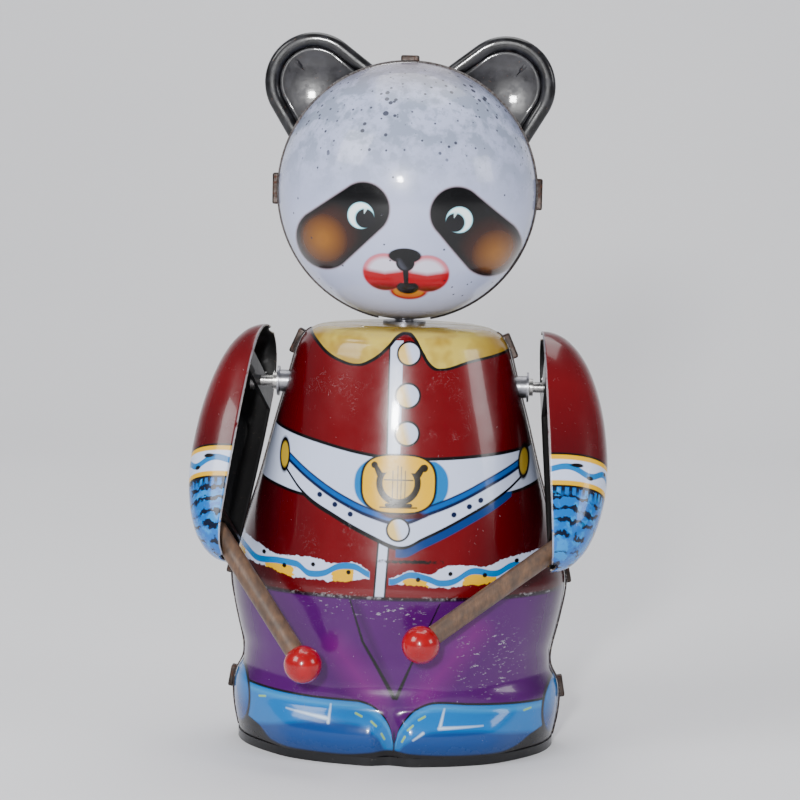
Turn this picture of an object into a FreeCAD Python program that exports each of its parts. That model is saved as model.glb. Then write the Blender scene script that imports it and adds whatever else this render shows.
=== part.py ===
import FreeCAD, Part
import math
import os

# Wind-up tin panda drummer. Millimetres, +Z up, the toy faces -Y, its own left side is +X,
# and the origin is on the resting plane under the middle of the body.

V = FreeCAD.Vector

# ---- pressed tin body ----
TIN = 0.4
BODY_BOTTOM = 1.2
BODY_POWER = 2.05
# height, half width, half depth
BODY_STATIONS = [
    (1.2, 36.6, 26.9), (4.0, 37.3, 27.3), (8.0, 38.0, 27.6), (12.0, 38.2, 27.5), (15.5, 37.6, 27.1),
    (18.5, 36.1, 26.6), (22.0, 35.9, 26.6), (27.0, 37.0, 27.2), (33.0, 38.3, 28.0), (39.0, 39.0, 28.6),
    (44.0, 38.0, 28.2), (50.0, 36.3, 27.4), (57.0, 34.2, 26.4), (64.0, 32.2, 25.2), (71.0, 30.4, 24.0),
    (78.0, 28.6, 22.8), (84.0, 26.9, 21.6), (89.0, 25.6, 20.5), (92.5, 24.6, 19.6), (95.0, 23.4, 18.7),
    (96.8, 21.4, 17.2), (97.8, 18.0, 14.6), (98.2, 13.5, 11.0)]
SHOE_BULGE = 2.6
SHOE_CENTRE_Z = 6.0
SHOE_HALF_HEIGHT = 6.4
SHOE_INNER_X = 1.6
SHOE_OUTER_X = 31.5
KNEE_BULGE = 1.6
KNEE_X = 16.0
KNEE_Z = 25.0
SECTION_POINTS = 56

# ---- folded seam ----
BEAD_GAP = 0.08
BEAD_OUT = 0.5
BEAD_HALF_WIDTH = 0.7
BODY_TABS = [(93.3, 6.0), (40.5, 4.5), (13.5, 5.0)]

# ---- base ----
BASE_OUT = 0.5
BASE_THICK = 0.6
BASE_LEDGE = 2.0
BASE_RIM_HEIGHT = 2.0
BASE_RIVET_R = 1.2
FOOT_TOP = 1.4

# ---- instrument slit in the jacket front ----
SLIT_X = 3.4
SLIT_Z = 46.9
SLIT_WIDTH = 11.0
SLIT_HEIGHT = 0.9

# ---- head ----
HEAD_Z = 128.8
HEAD_RX = 29.7
HEAD_RY = 27.0
HEAD_RZ = 29.6
EAR_ANGLE = 42.0
EAR_DISTANCE = 33.0
EAR_R = 11.2
EAR_Y = 0.5
EAR_FOOT_AT = 22.0
EAR_FOOT_HALF = 13.5
EAR_RIM_WIDTH = 2.8
EAR_RIM_DEPTH = 2.3
EAR_ROUND = 1.0
EAR_DISH_R = 36.0
EAR_DISH_Y = 1.7
HEAD_TABS = [(90.0, 4.2), (0.0, 7.2), (180.0, 7.2)]

# ---- neck ----
SPINDLE_R = 1.6
NECK_CLEARANCE = 0.06
NECK_BUSH_R = 3.0
NECK_BUSH_FLANGE_R = 5.0

# ---- arms ----
SHAFT_Z = 84.0
SHAFT_R = 1.25
SHAFT_CLEARANCE = 0.06
SHAFT_INNER_X = 5.0
BUSH_R = 2.6
BUSH_IN_X = 25.2
BUSH_OUT_X = 28.8
ARM_SWING_REST = 33.0
ARM_POWER = 2.2
# along the arm from the shaft, outward bulge, half width
ARM_STATIONS = [
    (13.5, 1.0, 1.5), (12.6, 3.6, 4.2), (11.0, 6.2, 6.6), (8.0, 8.9, 8.8), (4.0, 11.1, 10.2),
    (-2.0, 13.0, 10.9), (-10.0, 14.3, 11.0), (-18.0, 14.6, 10.6), (-26.0, 14.0, 10.0), (-32.0, 12.6, 9.4),
    (-38.0, 10.2, 8.6), (-42.0, 7.4, 7.2), (-44.4, 4.2, 4.8), (-45.3, 1.2, 1.8)]
# side sign, rim plane, splay, toe, share of the full bulge, where the stick leaves the hand, ball centre
ARMS = {
    "left": (1, 32.6, 3.5, 1.5, 0.96, (34.7, -22.0, 48.7), (6.8, -36.0, 29.9)),
    "right": (-1, 33.0, 7.0, 9.0, 0.86, (-38.9, -22.0, 49.8), (-19.3, -36.0, 24.6))}
STRAP_HALF = 2.5
STRAP_THICK = 0.8
GRIP_AT = -37.0
STICK_R = 2.2
STICK_BURIED = 7.0
BALL_R = 4.25

# ---- motor ----
PLATE_Y = 8.2
PLATE_THICK = 0.8
PLATE_HALF_WIDTH = 20.0
PLATE_BOTTOM = 12.0
PLATE_TOP = 74.0
PILLAR_SPOTS = [(-17.0, 16.0), (17.0, 16.0), (-17.0, 70.0), (17.0, 70.0)]
PILLAR_R = 1.6
PILLAR_END_R = 1.0
NUT_R = 2.0
NUT_THICK = 0.9
ARBOR_R = 1.0
PIVOT_CLEARANCE = 0.05
WINDING_R = 1.5
WINDING_SPOT = (0.0, 30.0)
SECOND_SPOT = (8.64, 41.52)
CAM_SPOT = (0.0, 47.487)
GOVERNOR_SPOT = (-7.2, 52.887)
SPRING_POST_SPOT = (-13.2, 30.0)
CLICK_STUD = (7.2, 26.0)
PRESSURE_ANGLE = math.radians(25.0)
BACKLASH = 0.08
PINION_TEETH = 12
GREAT_TEETH = 36
GREAT_MODULE = 0.6
SECOND_TEETH = 30
THIRD_TEETH = 24
FINE_MODULE = 0.5

# ---- drum cam, lifters and levers ----
CAM_R = 4.0
CAM_OFFSET = 2.0
CAM_GAP = 0.2
LIFT_TRAVEL = 4.4
LIFTER_X = 9.5
LIFTER_HALF_WIDTH = 2.5
LIFTER_LAYERS = {"left": (-11.5, -10.5), "right": (-13.5, -12.5)}
GUIDE_HEIGHTS = [62.5, 71.0]
GUIDE_R = 1.0
GUIDE_CLEARANCE = 0.1
LEVER_REACH = 14.2
LEVER_HALF_HEIGHT = 1.0

# ---- winding key ----
KEY_SLEEVE_R = 2.8
KEY_LOBE_R = 6.6
KEY_LOBE_X = 7.6
KEY_LOBE_Y = 42.0
KEY_HOLE_R = 3.0
KEY_THICK = 1.2
EYELET_R = 3.0
EYELET_FLANGE_R = 4.2


def export(shape, node):
    shape.exportStep("parts/" + node + ".step")


def rod(radius, start, end):
    """Round bar between two points."""
    line = V(*end) - V(*start)
    return Part.makeCylinder(radius, line.Length, V(*start), line)


def tube(outer, inner, start, end):
    return rod(outer, start, end).cut(rod(inner, start, end))


def box(low, high):
    return Part.makeBox(high[0] - low[0], high[1] - low[1], high[2] - low[2], V(*low))


def plate_xz(points, y_low, y_high):
    """Flat plate square to Y from an outline in x and z."""
    corners = [V(x, y_low, z) for x, z in points]
    face = Part.Face(Part.makePolygon(corners + corners[:1]))
    return face.extrude(V(0, y_high - y_low, 0))


def join(shapes):
    solid = shapes[0]
    for other in shapes[1:]:
        solid = solid.fuse(other)
    return solid.removeSplitter()


def smooth(low, high, value):
    t = min(max((value - low) / (high - low), 0.0), 1.0)
    return t * t * (3.0 - 2.0 * t)


def front_relief(x, z):
    """How far the shoes and knees stand out of the plain body, towards -Y."""
    side = abs(x)
    along = smooth(SHOE_INNER_X - 1.5, SHOE_INNER_X + 3.0, side)
    along *= 1.0 - smooth(SHOE_OUTER_X - 9.0, SHOE_OUTER_X, side)
    up = max(0.0, 1.0 - ((z - SHOE_CENTRE_Z) / SHOE_HALF_HEIGHT) ** 2)
    knee = ((side - KNEE_X) / 11.0) ** 2 + ((z - KNEE_Z) / 9.0) ** 2
    return SHOE_BULGE * along * up + KNEE_BULGE * math.exp(-1.6 * knee)


def body_wire(z, half_x, half_y, relief_at):
    points = []
    for k in range(SECTION_POINTS):
        t = 2.0 * math.pi * k / SECTION_POINTS
        c, s = math.cos(t), math.sin(t)
        x = half_x * math.copysign(abs(c) ** (2.0 / BODY_POWER), c)
        y = half_y * math.copysign(abs(s) ** (2.0 / BODY_POWER), s)
        if y < 0:
            fade = smooth(0.0, 9.0, -y)
            y -= fade * front_relief(x, relief_at)
        points.append(V(x, y, z))
    curve = Part.BSplineCurve()
    curve.interpolate(points, PeriodicFlag=True)
    return Part.Wire(curve.toShape())


def body_solid(grow):
    """Solid bounded by the body's surface moved outward by grow."""
    wires = []
    top = BODY_STATIONS[-1][0]
    for z, half_x, half_y in BODY_STATIONS:
        height = z
        if grow < 0 and z > 90.0:
            height = z + grow * (z - 90.0) / (top - 90.0)
        wires.append(body_wire(height, half_x + grow, half_y + grow, z))
    return Part.makeLoft(wires, True, False)


def front_half():
    return box((-80, -80, -10), (80, 0, 200))


def rear_half():
    return box((-80, 0, -10), (80, 80, 200))


def seam_slab():
    return box((-80, -BEAD_HALF_WIDTH, -10), (80, BEAD_HALF_WIDTH, 200))


def shaft_holes():
    return rod(BUSH_R, (-60, 0, SHAFT_Z), (60, 0, SHAFT_Z))


def make_body_shells(outer, inner):
    shell = outer.cut(inner)
    shell = shell.cut(rod(NECK_BUSH_R, (0, 0, 90), (0, 0, 110)))
    shell = shell.cut(shaft_holes())
    front = shell.common(front_half())
    slit = box((-SLIT_WIDTH / 2, -60, -SLIT_HEIGHT / 2), (SLIT_WIDTH / 2, 0, SLIT_HEIGHT / 2))
    slit.translate(V(SLIT_X, 0, SLIT_Z))
    front = front.cut(slit)
    rear = shell.common(rear_half())
    rear = rear.cut(arbor_along_y(WINDING_SPOT, EYELET_R + 0.05, 0.0, 60.0))
    export(front, "body_front_shell")
    export(rear, "body_rear_shell")


def seam_edge(grow):
    """The body's outline at the seam on the +X side, moved outward by grow."""
    points = [V(half_x + grow, 0, z) for z, half_x, half_y in BODY_STATIONS if z < 97.0]
    curve = Part.BSplineCurve()
    curve.interpolate(points)
    return curve.toShape(), points


def seam_strip(grow_in, grow_out, half_y):
    """Strip along the +X seam between two outlines."""
    inner, inner_points = seam_edge(grow_in)
    outer, outer_points = seam_edge(grow_out)
    low = Part.makeLine(inner_points[0], outer_points[0])
    high = Part.makeLine(inner_points[-1], outer_points[-1])
    face = Part.Face(Part.Wire([low, outer, high, inner]))
    strip = face.extrude(V(0, 2 * half_y, 0))
    strip.translate(V(0, -half_y, 0))
    return strip


def make_body_bead():
    strip = seam_strip(BEAD_GAP, BEAD_OUT, BEAD_HALF_WIDTH)
    strip = strip.cut(box((0, -5, -1), (60, 5, BASE_RIM_HEIGHT + 0.05))).cut(shaft_holes())
    other = strip.mirror(V(0, 0, 0), V(1, 0, 0))
    export(Part.makeCompound([strip, other]), "body_seam_bead")


def half_width_at(z):
    for low, high in zip(BODY_STATIONS, BODY_STATIONS[1:]):
        if low[0] <= z <= high[0]:
            share = (z - low[0]) / (high[0] - low[0])
            return low[1] + share * (high[1] - low[1])
    return BODY_STATIONS[-1][1]


def make_body_tabs():
    tabs = []
    keep_out = seam_strip(-8.0, BEAD_OUT + 0.02, 2.5)
    for z, length in BODY_TABS:
        reach = half_width_at(z)
        slope = math.degrees(math.atan2(half_width_at(z + 1.5) - half_width_at(z - 1.5), 3.0))
        for side in (-1, 1):
            tab = box((-1.2, -1.5, -length / 2), (1.5, 1.5, length / 2))
            tab = tab.makeFillet(0.45, tab.Edges)
            tab.rotate(V(0, 0, 0), V(0, 1, 0), slope)
            tab.translate(V(reach, 0, z))
            tab = tab.cut(keep_out)
            if side < 0:
                tab = tab.mirror(V(0, 0, 0), V(1, 0, 0))
            tabs.append(tab)
    export(Part.makeCompound(tabs), "body_seam_tabs")


def make_base(outer):
    """Shallow tray with a rolled rim that closes the body from below."""
    z, half_x, half_y = BODY_STATIONS[0]
    wide = body_wire(0, half_x + BASE_OUT, half_y + BASE_OUT, z)
    tray = Part.Face(wide).extrude(V(0, 0, BASE_RIM_HEIGHT))
    recess = body_wire(BASE_THICK, half_x - BASE_LEDGE, half_y - BASE_LEDGE, z)
    tray = tray.cut(Part.Face(recess).extrude(V(0, 0, BASE_RIM_HEIGHT))).cut(outer)
    spots = bracket_spots()
    for x, y in spots:
        tray = tray.cut(rod(BASE_RIVET_R, (x, y, 0), (x, y, 3)))
    export(tray, "base_plate")


def bracket_spots():
    return [(side * 17.0, face * 13.0) for side in (-1, 1) for face in (-1, 1)]


def make_base_rivets():
    rivets = []
    for x, y in bracket_spots():
        shank = rod(BASE_RIVET_R, (x, y, 0), (x, y, FOOT_TOP))
        head = rod(BASE_RIVET_R + 0.8, (x, y, FOOT_TOP), (x, y, FOOT_TOP + 0.6))
        rivets.append(join([shank, head]))
    export(Part.makeCompound(rivets), "base_rivets")


def make_motor_brackets():
    """Four angle feet that stand the motor plates on the base."""
    feet = []
    outer_face = PLATE_Y + PLATE_THICK
    for x, y in bracket_spots():
        face = 1 if y > 0 else -1
        low_y, high_y = sorted((face * outer_face, face * (outer_face + 0.8)))
        upright = box((x - 3, low_y, BASE_THICK), (x + 3, high_y, 19))
        low_y, high_y = sorted((face * outer_face, face * 16.0))
        foot = box((x - 3, low_y, BASE_THICK), (x + 3, high_y, FOOT_TOP))
        foot = foot.cut(rod(BASE_RIVET_R, (x, y, 0), (x, y, 3)))
        bracket = join([upright, foot])
        bracket = bracket.cut(rod(NUT_R + 0.2, (x, face * outer_face, 16), (x, face * 12, 16)))
        feet.append(bracket)
    export(Part.makeCompound(feet), "motor_brackets")


def motor_plate(y_low, y_high, holes):
    corner = 4.0
    w = PLATE_HALF_WIDTH
    outline = [(-w, PLATE_BOTTOM + corner), (-w + corner, PLATE_BOTTOM), (w - corner, PLATE_BOTTOM),
               (w, PLATE_BOTTOM + corner), (w, PLATE_TOP - corner), (w - corner, PLATE_TOP),
               (-w + corner, PLATE_TOP), (-w, PLATE_TOP - corner)]
    plate = plate_xz(outline, y_low, y_high)
    for (x, z), radius in holes:
        plate = plate.cut(rod(radius, (x, y_low - 1, z), (x, y_high + 1, z)))
    return plate


def make_motor_plates():
    common_holes = [(spot, PILLAR_END_R) for spot in PILLAR_SPOTS + [SPRING_POST_SPOT]]
    common_holes += [(spot, ARBOR_R + PIVOT_CLEARANCE) for spot in (SECOND_SPOT, CAM_SPOT, GOVERNOR_SPOT)]
    common_holes.append((WINDING_SPOT, WINDING_R + PIVOT_CLEARANCE))
    guide_holes = [((side * LIFTER_X, z), GUIDE_R) for side in (-1, 1) for z in GUIDE_HEIGHTS]
    export(motor_plate(-PLATE_Y - PLATE_THICK, -PLATE_Y, common_holes + guide_holes), "motor_front_plate")
    export(motor_plate(PLATE_Y, PLATE_Y + PLATE_THICK, common_holes), "motor_rear_plate")


def pillar(x, z, radius, ends):
    body = rod(radius, (x, -PLATE_Y, z), (x, PLATE_Y, z))
    return join([body, rod(PILLAR_END_R, (x, -ends, z), (x, ends, z))])


def make_pillars():
    ends = PLATE_Y + PLATE_THICK + NUT_THICK + 0.3
    export(Part.makeCompound([pillar(x, z, PILLAR_R, ends) for x, z in PILLAR_SPOTS]), "motor_pillars")
    x, z = SPRING_POST_SPOT
    post = pillar(x, z, PILLAR_END_R + 0.05, PLATE_Y + PLATE_THICK + 0.4)
    export(post, "spring_post")


def make_pillar_nuts():
    nuts = []
    outer_face = PLATE_Y + PLATE_THICK
    for x, z in PILLAR_SPOTS:
        hexagon = [(x + NUT_R * math.cos(math.radians(a)), z + NUT_R * math.sin(math.radians(a)))
                   for a in range(0, 360, 60)]
        for face in (-1, 1):
            low_y, high_y = sorted((face * outer_face, face * (outer_face + NUT_THICK)))
            nut = plate_xz(hexagon, low_y, high_y)
            nuts.append(nut.cut(rod(PILLAR_END_R, (x, low_y - 1, z), (x, high_y + 1, z))))
    export(Part.makeCompound(nuts), "pillar_nuts")


def make_mainspring():
    """Coiled strip: its eye rides free round the arbor and its outer end wraps the post."""
    inner_r = WINDING_R + 0.5
    post_x = SPRING_POST_SPOT[0]
    outer_r = abs(post_x) - PILLAR_END_R - 0.35
    turns = 7.0
    thick = 0.28
    steps = 24
    count = int(turns * steps)
    inside = []
    outside = []
    for k in range(count + 1):
        share = k / count
        angle = math.pi + 2.0 * math.pi * turns * (share - 1.0)
        r = inner_r + (outer_r - inner_r) * share
        cx, cz = WINDING_SPOT
        inside.append(V(cx + r * math.cos(angle), -1.0, cz + r * math.sin(angle)))
        outside.append(V(cx + (r + thick) * math.cos(angle), -1.0, cz + (r + thick) * math.sin(angle)))
    edges = []
    for row in (inside, outside):
        curve = Part.BSplineCurve()
        curve.interpolate(row)
        edges.append(curve.toShape())
    start = Part.makeLine(inside[0], outside[0])
    end = Part.makeLine(inside[-1], outside[-1])
    face = Part.Face(Part.Wire([edges[0], end, edges[1].reversed(), start]))
    strip = face.extrude(V(0, 7.5, 0))
    x, z = WINDING_SPOT
    eye = tube(inner_r + 0.15, WINDING_R + 0.1, (x, -1.0, z), (x, 6.5, z))
    x, z = SPRING_POST_SPOT
    loop = tube(PILLAR_END_R + 0.45, PILLAR_END_R + 0.1, (x, -1.0, z), (x, 6.5, z))
    export(join([strip, eye, loop]), "mainspring")


def involute(angle):
    return math.tan(angle) - angle


def gear_outline(spot, teeth, module, towards, gap_first):
    """Tooth outline in x and z. A tooth, or a gap, points at the spot named by towards."""
    pitch_r = module * teeth / 2.0
    base_r = pitch_r * math.cos(PRESSURE_ANGLE)
    root_r = pitch_r - 1.2 * module
    tip_r = pitch_r + 0.9 * module
    half_pitch_angle = (math.pi * module / 2.0 - BACKLASH) / (2.0 * pitch_r)
    aim = math.atan2(towards[1] - spot[1], towards[0] - spot[0])
    if gap_first:
        aim += math.pi / teeth
    flank_start = max(base_r, root_r)
    radii = [flank_start + (tip_r - flank_start) * share for share in (0.0, 0.25, 0.5, 0.75, 1.0)]
    flank = [(root_r, None)] if root_r < base_r else []
    flank += [(r, math.acos(min(1.0, base_r / r))) for r in radii]
    widest = half_pitch_angle + involute(PRESSURE_ANGLE)
    points = []
    for k in range(teeth):
        centre = aim + 2.0 * math.pi * k / teeth
        rising = []
        for r, phi in flank:
            half = widest if phi is None else widest - involute(phi)
            rising.append((r, half))
        for r, half in rising:
            points.append((r, centre - half))
        for r, half in reversed(rising):
            points.append((r, centre + half))
    return [(spot[0] + r * math.cos(a), spot[1] + r * math.sin(a)) for r, a in points]


def gear(spot, teeth, module, towards, gap_first, y_low, y_high):
    return plate_xz(gear_outline(spot, teeth, module, towards, gap_first), y_low, y_high)


def spoke_windows(wheel, spot, inner_r, outer_r, y_low, y_high, count):
    """Cut round windows between hub and rim."""
    middle = (inner_r + outer_r) / 2.0
    size = (outer_r - inner_r) / 2.0
    for k in range(count):
        angle = 2.0 * math.pi * (k + 0.5) / count
        x = spot[0] + middle * math.cos(angle)
        z = spot[1] + middle * math.sin(angle)
        wheel = wheel.cut(rod(size, (x, y_low - 1, z), (x, y_high + 1, z)))
    return wheel


def arbor_along_y(spot, radius, y_low, y_high):
    return rod(radius, (spot[0], y_low, spot[1]), (spot[0], y_high, spot[1]))


def make_great_wheel():
    y_low, y_high = -6.6, -5.6
    wheel = gear(WINDING_SPOT, GREAT_TEETH, GREAT_MODULE, SECOND_SPOT, False, y_low, y_high)
    wheel = wheel.cut(arbor_along_y(WINDING_SPOT, WINDING_R + PIVOT_CLEARANCE, -8, -4))
    stud = arbor_along_y(CLICK_STUD, 0.7, y_high, -4.2)
    head = arbor_along_y(CLICK_STUD, 1.1, -4.2, -3.8)
    export(join([wheel, stud, head]), "great_wheel")


def make_ratchet():
    teeth = 14
    outer, inner = 4.6, 3.7
    points = []
    for k in range(teeth):
        a = 2.0 * math.pi * k / teeth
        b = 2.0 * math.pi * (k + 0.92) / teeth
        points.append((WINDING_SPOT[0] + inner * math.cos(a), WINDING_SPOT[1] + inner * math.sin(a)))
        points.append((WINDING_SPOT[0] + outer * math.cos(b), WINDING_SPOT[1] + outer * math.sin(b)))
    wheel = plate_xz(points, -5.2, -4.3)
    export(wheel.cut(arbor_along_y(WINDING_SPOT, WINDING_R, -6, -3)), "ratchet_wheel")


def make_click():
    """Pawl on its stud, its nose just clear of the ratchet's tips."""
    x, z = CLICK_STUD
    hub = arbor_along_y(CLICK_STUD, 1.3, -5.3, -4.4)
    nose = plate_xz([(x - 0.8, z + 0.9), (x + 1.2, z), (5.2, 31.8), (4.4, 32.2)], -5.3, -4.4)
    click = join([hub, nose]).cut(arbor_along_y(CLICK_STUD, 0.75, -6, -4))
    click = click.cut(arbor_along_y(WINDING_SPOT, 4.8, -6, -4))
    export(click, "click")


def make_winding_arbor():
    front = arbor_along_y(WINDING_SPOT, WINDING_R, -9.8, 37.0)
    export(front, "winding_arbor")


def make_second_arbor():
    body = arbor_along_y(SECOND_SPOT, ARBOR_R, -9.4, 9.4)
    pinion = gear(SECOND_SPOT, PINION_TEETH, GREAT_MODULE, WINDING_SPOT, True, -7.4, -4.8)
    export(join([body, pinion]), "second_arbor")
    wheel = gear(SECOND_SPOT, SECOND_TEETH, FINE_MODULE, CAM_SPOT, False, -3.2, -2.4)
    wheel = spoke_windows(wheel, SECOND_SPOT, 2.6, 5.8, -3.2, -2.4, 4)
    export(wheel.cut(arbor_along_y(SECOND_SPOT, ARBOR_R, -4, -2)), "second_wheel")


def make_cam_arbor():
    body = arbor_along_y(CAM_SPOT, ARBOR_R, -14.4, 9.4)
    pinion = gear(CAM_SPOT, PINION_TEETH, FINE_MODULE, SECOND_SPOT, True, -4.0, -1.6)
    export(join([body, pinion]), "cam_arbor")
    wheel = gear(CAM_SPOT, THIRD_TEETH, FINE_MODULE, GOVERNOR_SPOT, False, 7.1, 7.8)
    wheel = spoke_windows(wheel, CAM_SPOT, 1.9, 4.6, 7.1, 7.8, 4)
    export(wheel.cut(arbor_along_y(CAM_SPOT, ARBOR_R, 6, 9)), "third_wheel")


def make_drum_cam():
    """Two round eccentrics set opposite each other, one for each lifter."""
    x, z = CAM_SPOT
    discs = []
    for side, name in ((1, "left"), (-1, "right")):
        y_low, y_high = LIFTER_LAYERS[name]
        discs.append(rod(CAM_R, (x, y_low, z + side * CAM_OFFSET), (x, y_high, z + side * CAM_OFFSET)))
    hub = arbor_along_y(CAM_SPOT, 1.9, -14.0, -9.6)
    cam = join(discs + [hub]).cut(arbor_along_y(CAM_SPOT, ARBOR_R, -15, -9))
    export(cam, "drum_cam")


def make_governor():
    body = arbor_along_y(GOVERNOR_SPOT, ARBOR_R, -9.4, 9.4)
    pinion = gear(GOVERNOR_SPOT, PINION_TEETH, FINE_MODULE, CAM_SPOT, True, 6.2, 8.0)
    export(join([body, pinion]), "governor_arbor")
    x, z = GOVERNOR_SPOT
    vane = box((x - 5.2, -6.0, z - 0.3), (x + 5.2, 3.0, z + 0.3))
    hub = arbor_along_y(GOVERNOR_SPOT, 1.6, -6.0, 3.0)
    fly = join([vane, hub]).cut(arbor_along_y(GOVERNOR_SPOT, ARBOR_R, -8, 5))
    export(fly, "governor_fly")


def make_lifter(name, side):
    y_low, y_high = LIFTER_LAYERS[name]
    foot_z = CAM_SPOT[1] + CAM_R + CAM_OFFSET + CAM_GAP
    top_z = SHAFT_Z - LEVER_HALF_HEIGHT - 0.1
    w = LIFTER_HALF_WIDTH
    outline = [(-3.0, foot_z), (LIFTER_X + w, foot_z), (LIFTER_X + w, top_z), (LIFTER_X - w, top_z),
               (LIFTER_X - w, foot_z + 3.2), (-3.0, foot_z + 3.2)]
    lifter = plate_xz([(side * x, z) for x, z in outline], y_low, y_high)
    slot_r = GUIDE_R + GUIDE_CLEARANCE
    for z in GUIDE_HEIGHTS:
        low = (side * LIFTER_X, y_low - 1, z - LIFT_TRAVEL - 0.2)
        high = (side * LIFTER_X, y_low - 1, z)
        for x, y, height in (low, high):
            lifter = lifter.cut(rod(slot_r, (x, y, height), (x, y + 3, height)))
        lifter = lifter.cut(box((low[0] - slot_r, low[1], low[2]), (low[0] + slot_r, low[1] + 3, high[2])))
    export(lifter, name + "_lifter")


def make_guide_pins():
    pins = []
    for name, side in (("left", 1), ("right", -1)):
        y_low, y_high = LIFTER_LAYERS[name]
        for z in GUIDE_HEIGHTS:
            x = side * LIFTER_X
            stem = rod(GUIDE_R, (x, -PLATE_Y, z), (x, y_low - 0.2, z))
            head = rod(GUIDE_R + 0.8, (x, y_low - 0.8, z), (x, y_low - 0.2, z))
            parts = [stem, head]
            if name == "right":
                parts.append(rod(GUIDE_R + 0.8, (x, -PLATE_Y - PLATE_THICK, z), (x, y_high + 0.2, z)))
            pins.append(join(parts))
    export(Part.makeCompound(pins), "lifter_guide_pins")


def make_shaft_bridge():
    """Bent strap across the tops of both plates: its two ears carry the inner ends of the arm shafts."""
    base = box((-12, -PLATE_Y - PLATE_THICK, PLATE_TOP), (12, PLATE_Y + PLATE_THICK, PLATE_TOP + 1))
    bridge = [base]
    for side in (-1, 1):
        low_x, high_x = sorted((side * 6.0, side * 7.0))
        bridge.append(box((low_x, -4.5, PLATE_TOP), (high_x, 4.5, SHAFT_Z + 3.5)))
    bridge = join(bridge)
    bore = SHAFT_R + SHAFT_CLEARANCE
    bridge = bridge.cut(rod(bore, (-20, 0, SHAFT_Z), (20, 0, SHAFT_Z)))
    export(bridge, "shaft_bridge")


def arm_wire(v, bulge, half_width):
    points = []
    for k in range(40):
        t = 2.0 * math.pi * k / 40
        c, s = math.cos(t), math.sin(t)
        h = bulge * math.copysign(abs(s) ** (2.0 / ARM_POWER), s)
        w = half_width * math.copysign(abs(c) ** (2.0 / ARM_POWER), c)
        points.append(V(h, w, v))
    curve = Part.BSplineCurve()
    curve.interpolate(points, PeriodicFlag=True)
    return Part.Wire(curve.toShape())


def arm_lens(inset, share):
    top = ARM_STATIONS[0][0]
    bottom = ARM_STATIONS[-1][0]
    middle = (top + bottom) / 2.0
    squeeze = (top - middle - inset) / (top - middle)
    wires = []
    for v, bulge, half_width in reversed(ARM_STATIONS):
        wires.append(arm_wire(middle + (v - middle) * squeeze, bulge * share - inset, half_width - inset))
    lens = Part.makeLoft(wires, True, False)
    return lens.common(box((0, -40, -80), (40, 40, 80)))


def place_arm(shape, side, rim_x, splay, toe):
    """Turn an arm piece from its own axes into the toy's."""
    placed = shape.copy()
    origin = V(0, 0, 0)
    placed.rotate(origin, V(0, 1, 0), -splay)
    placed.rotate(origin, V(0, 0, 1), toe)
    placed.rotate(origin, V(1, 0, 0), -ARM_SWING_REST)
    placed.translate(V(rim_x, 0, SHAFT_Z))
    if side < 0:
        placed = placed.mirror(origin, V(1, 0, 0))
    return placed


def make_arm(name):
    side, rim_x, splay, toe, share, leaves, ball = ARMS[name]
    pose = (side, rim_x, splay, toe)
    outer = arm_lens(0.0, share)
    inner = arm_lens(TIN, share)
    leaves, ball = V(*leaves), V(*ball)
    along = (ball - leaves).normalize()
    start = leaves - along * STICK_BURIED
    stick = Part.makeCylinder(STICK_R, (ball - start).Length, start, along)
    sphere = Part.makeSphere(BALL_R, ball)
    shaft_end = rim_x + 2.6
    shaft = join([rod(SHAFT_R, (side * SHAFT_INNER_X, 0, SHAFT_Z), (side * shaft_end, 0, SHAFT_Z)),
                  rod(SHAFT_R + 0.9, (side * (shaft_end - 1.0), 0, SHAFT_Z), (side * shaft_end, 0, SHAFT_Z))])
    shell = place_arm(outer.cut(inner), *pose)
    shell = shell.cut(Part.makeCylinder(STICK_R + 0.05, 40, start, along))
    export(shell, name + "_arm_shell")
    strap = inner.common(box((0, -20, -STRAP_HALF), (STRAP_THICK, 20, STRAP_HALF)))
    export(place_arm(strap, *pose).cut(shaft), name + "_arm_strap")
    grip = inner.common(box((0, -20, GRIP_AT - 0.4), (20, 20, GRIP_AT + 0.4)))
    export(place_arm(grip, *pose).cut(stick), name + "_stick_grip")
    export(shaft, name + "_arm_shaft")
    export(stick.cut(sphere), name + "_drumstick")
    export(sphere, name + "_stick_ball")


def make_shaft_fittings(name):
    side = ARMS[name][0]
    bore = SHAFT_R + SHAFT_CLEARANCE
    inner_end = (side * BUSH_IN_X, 0, SHAFT_Z)
    shoulder = (side * BUSH_OUT_X, 0, SHAFT_Z)
    outer_end = (side * (BUSH_OUT_X + 0.5), 0, SHAFT_Z)
    bush = join([tube(BUSH_R, bore, inner_end, shoulder), tube(BUSH_R + 0.9, bore, shoulder, outer_end)])
    export(bush, name + "_shaft_bush")
    collar_x = BUSH_OUT_X + 0.6
    collar = tube(SHAFT_R + 0.8, SHAFT_R, (side * collar_x, 0, SHAFT_Z), (side * (collar_x + 0.9), 0, SHAFT_Z))
    export(collar, name + "_shaft_collar")
    low_x, high_x = sorted((side * 8.6, side * 9.8))
    arm = box((low_x, -LEVER_REACH, SHAFT_Z - LEVER_HALF_HEIGHT), (high_x, 0, SHAFT_Z + LEVER_HALF_HEIGHT))
    hub = rod(SHAFT_R + 1.3, (low_x, 0, SHAFT_Z), (high_x, 0, SHAFT_Z))
    lever = join([arm, hub]).cut(rod(SHAFT_R, (low_x - 1, 0, SHAFT_Z), (high_x + 1, 0, SHAFT_Z)))
    export(lever, name + "_arm_lever")


def ellipsoid(grow):
    ball = Part.makeSphere(1.0)
    matrix = FreeCAD.Matrix()
    matrix.scale(HEAD_RX + grow, HEAD_RY + grow, HEAD_RZ + grow)
    matrix.move(V(0, 0, HEAD_Z))
    return ball.transformGeometry(matrix)


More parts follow.
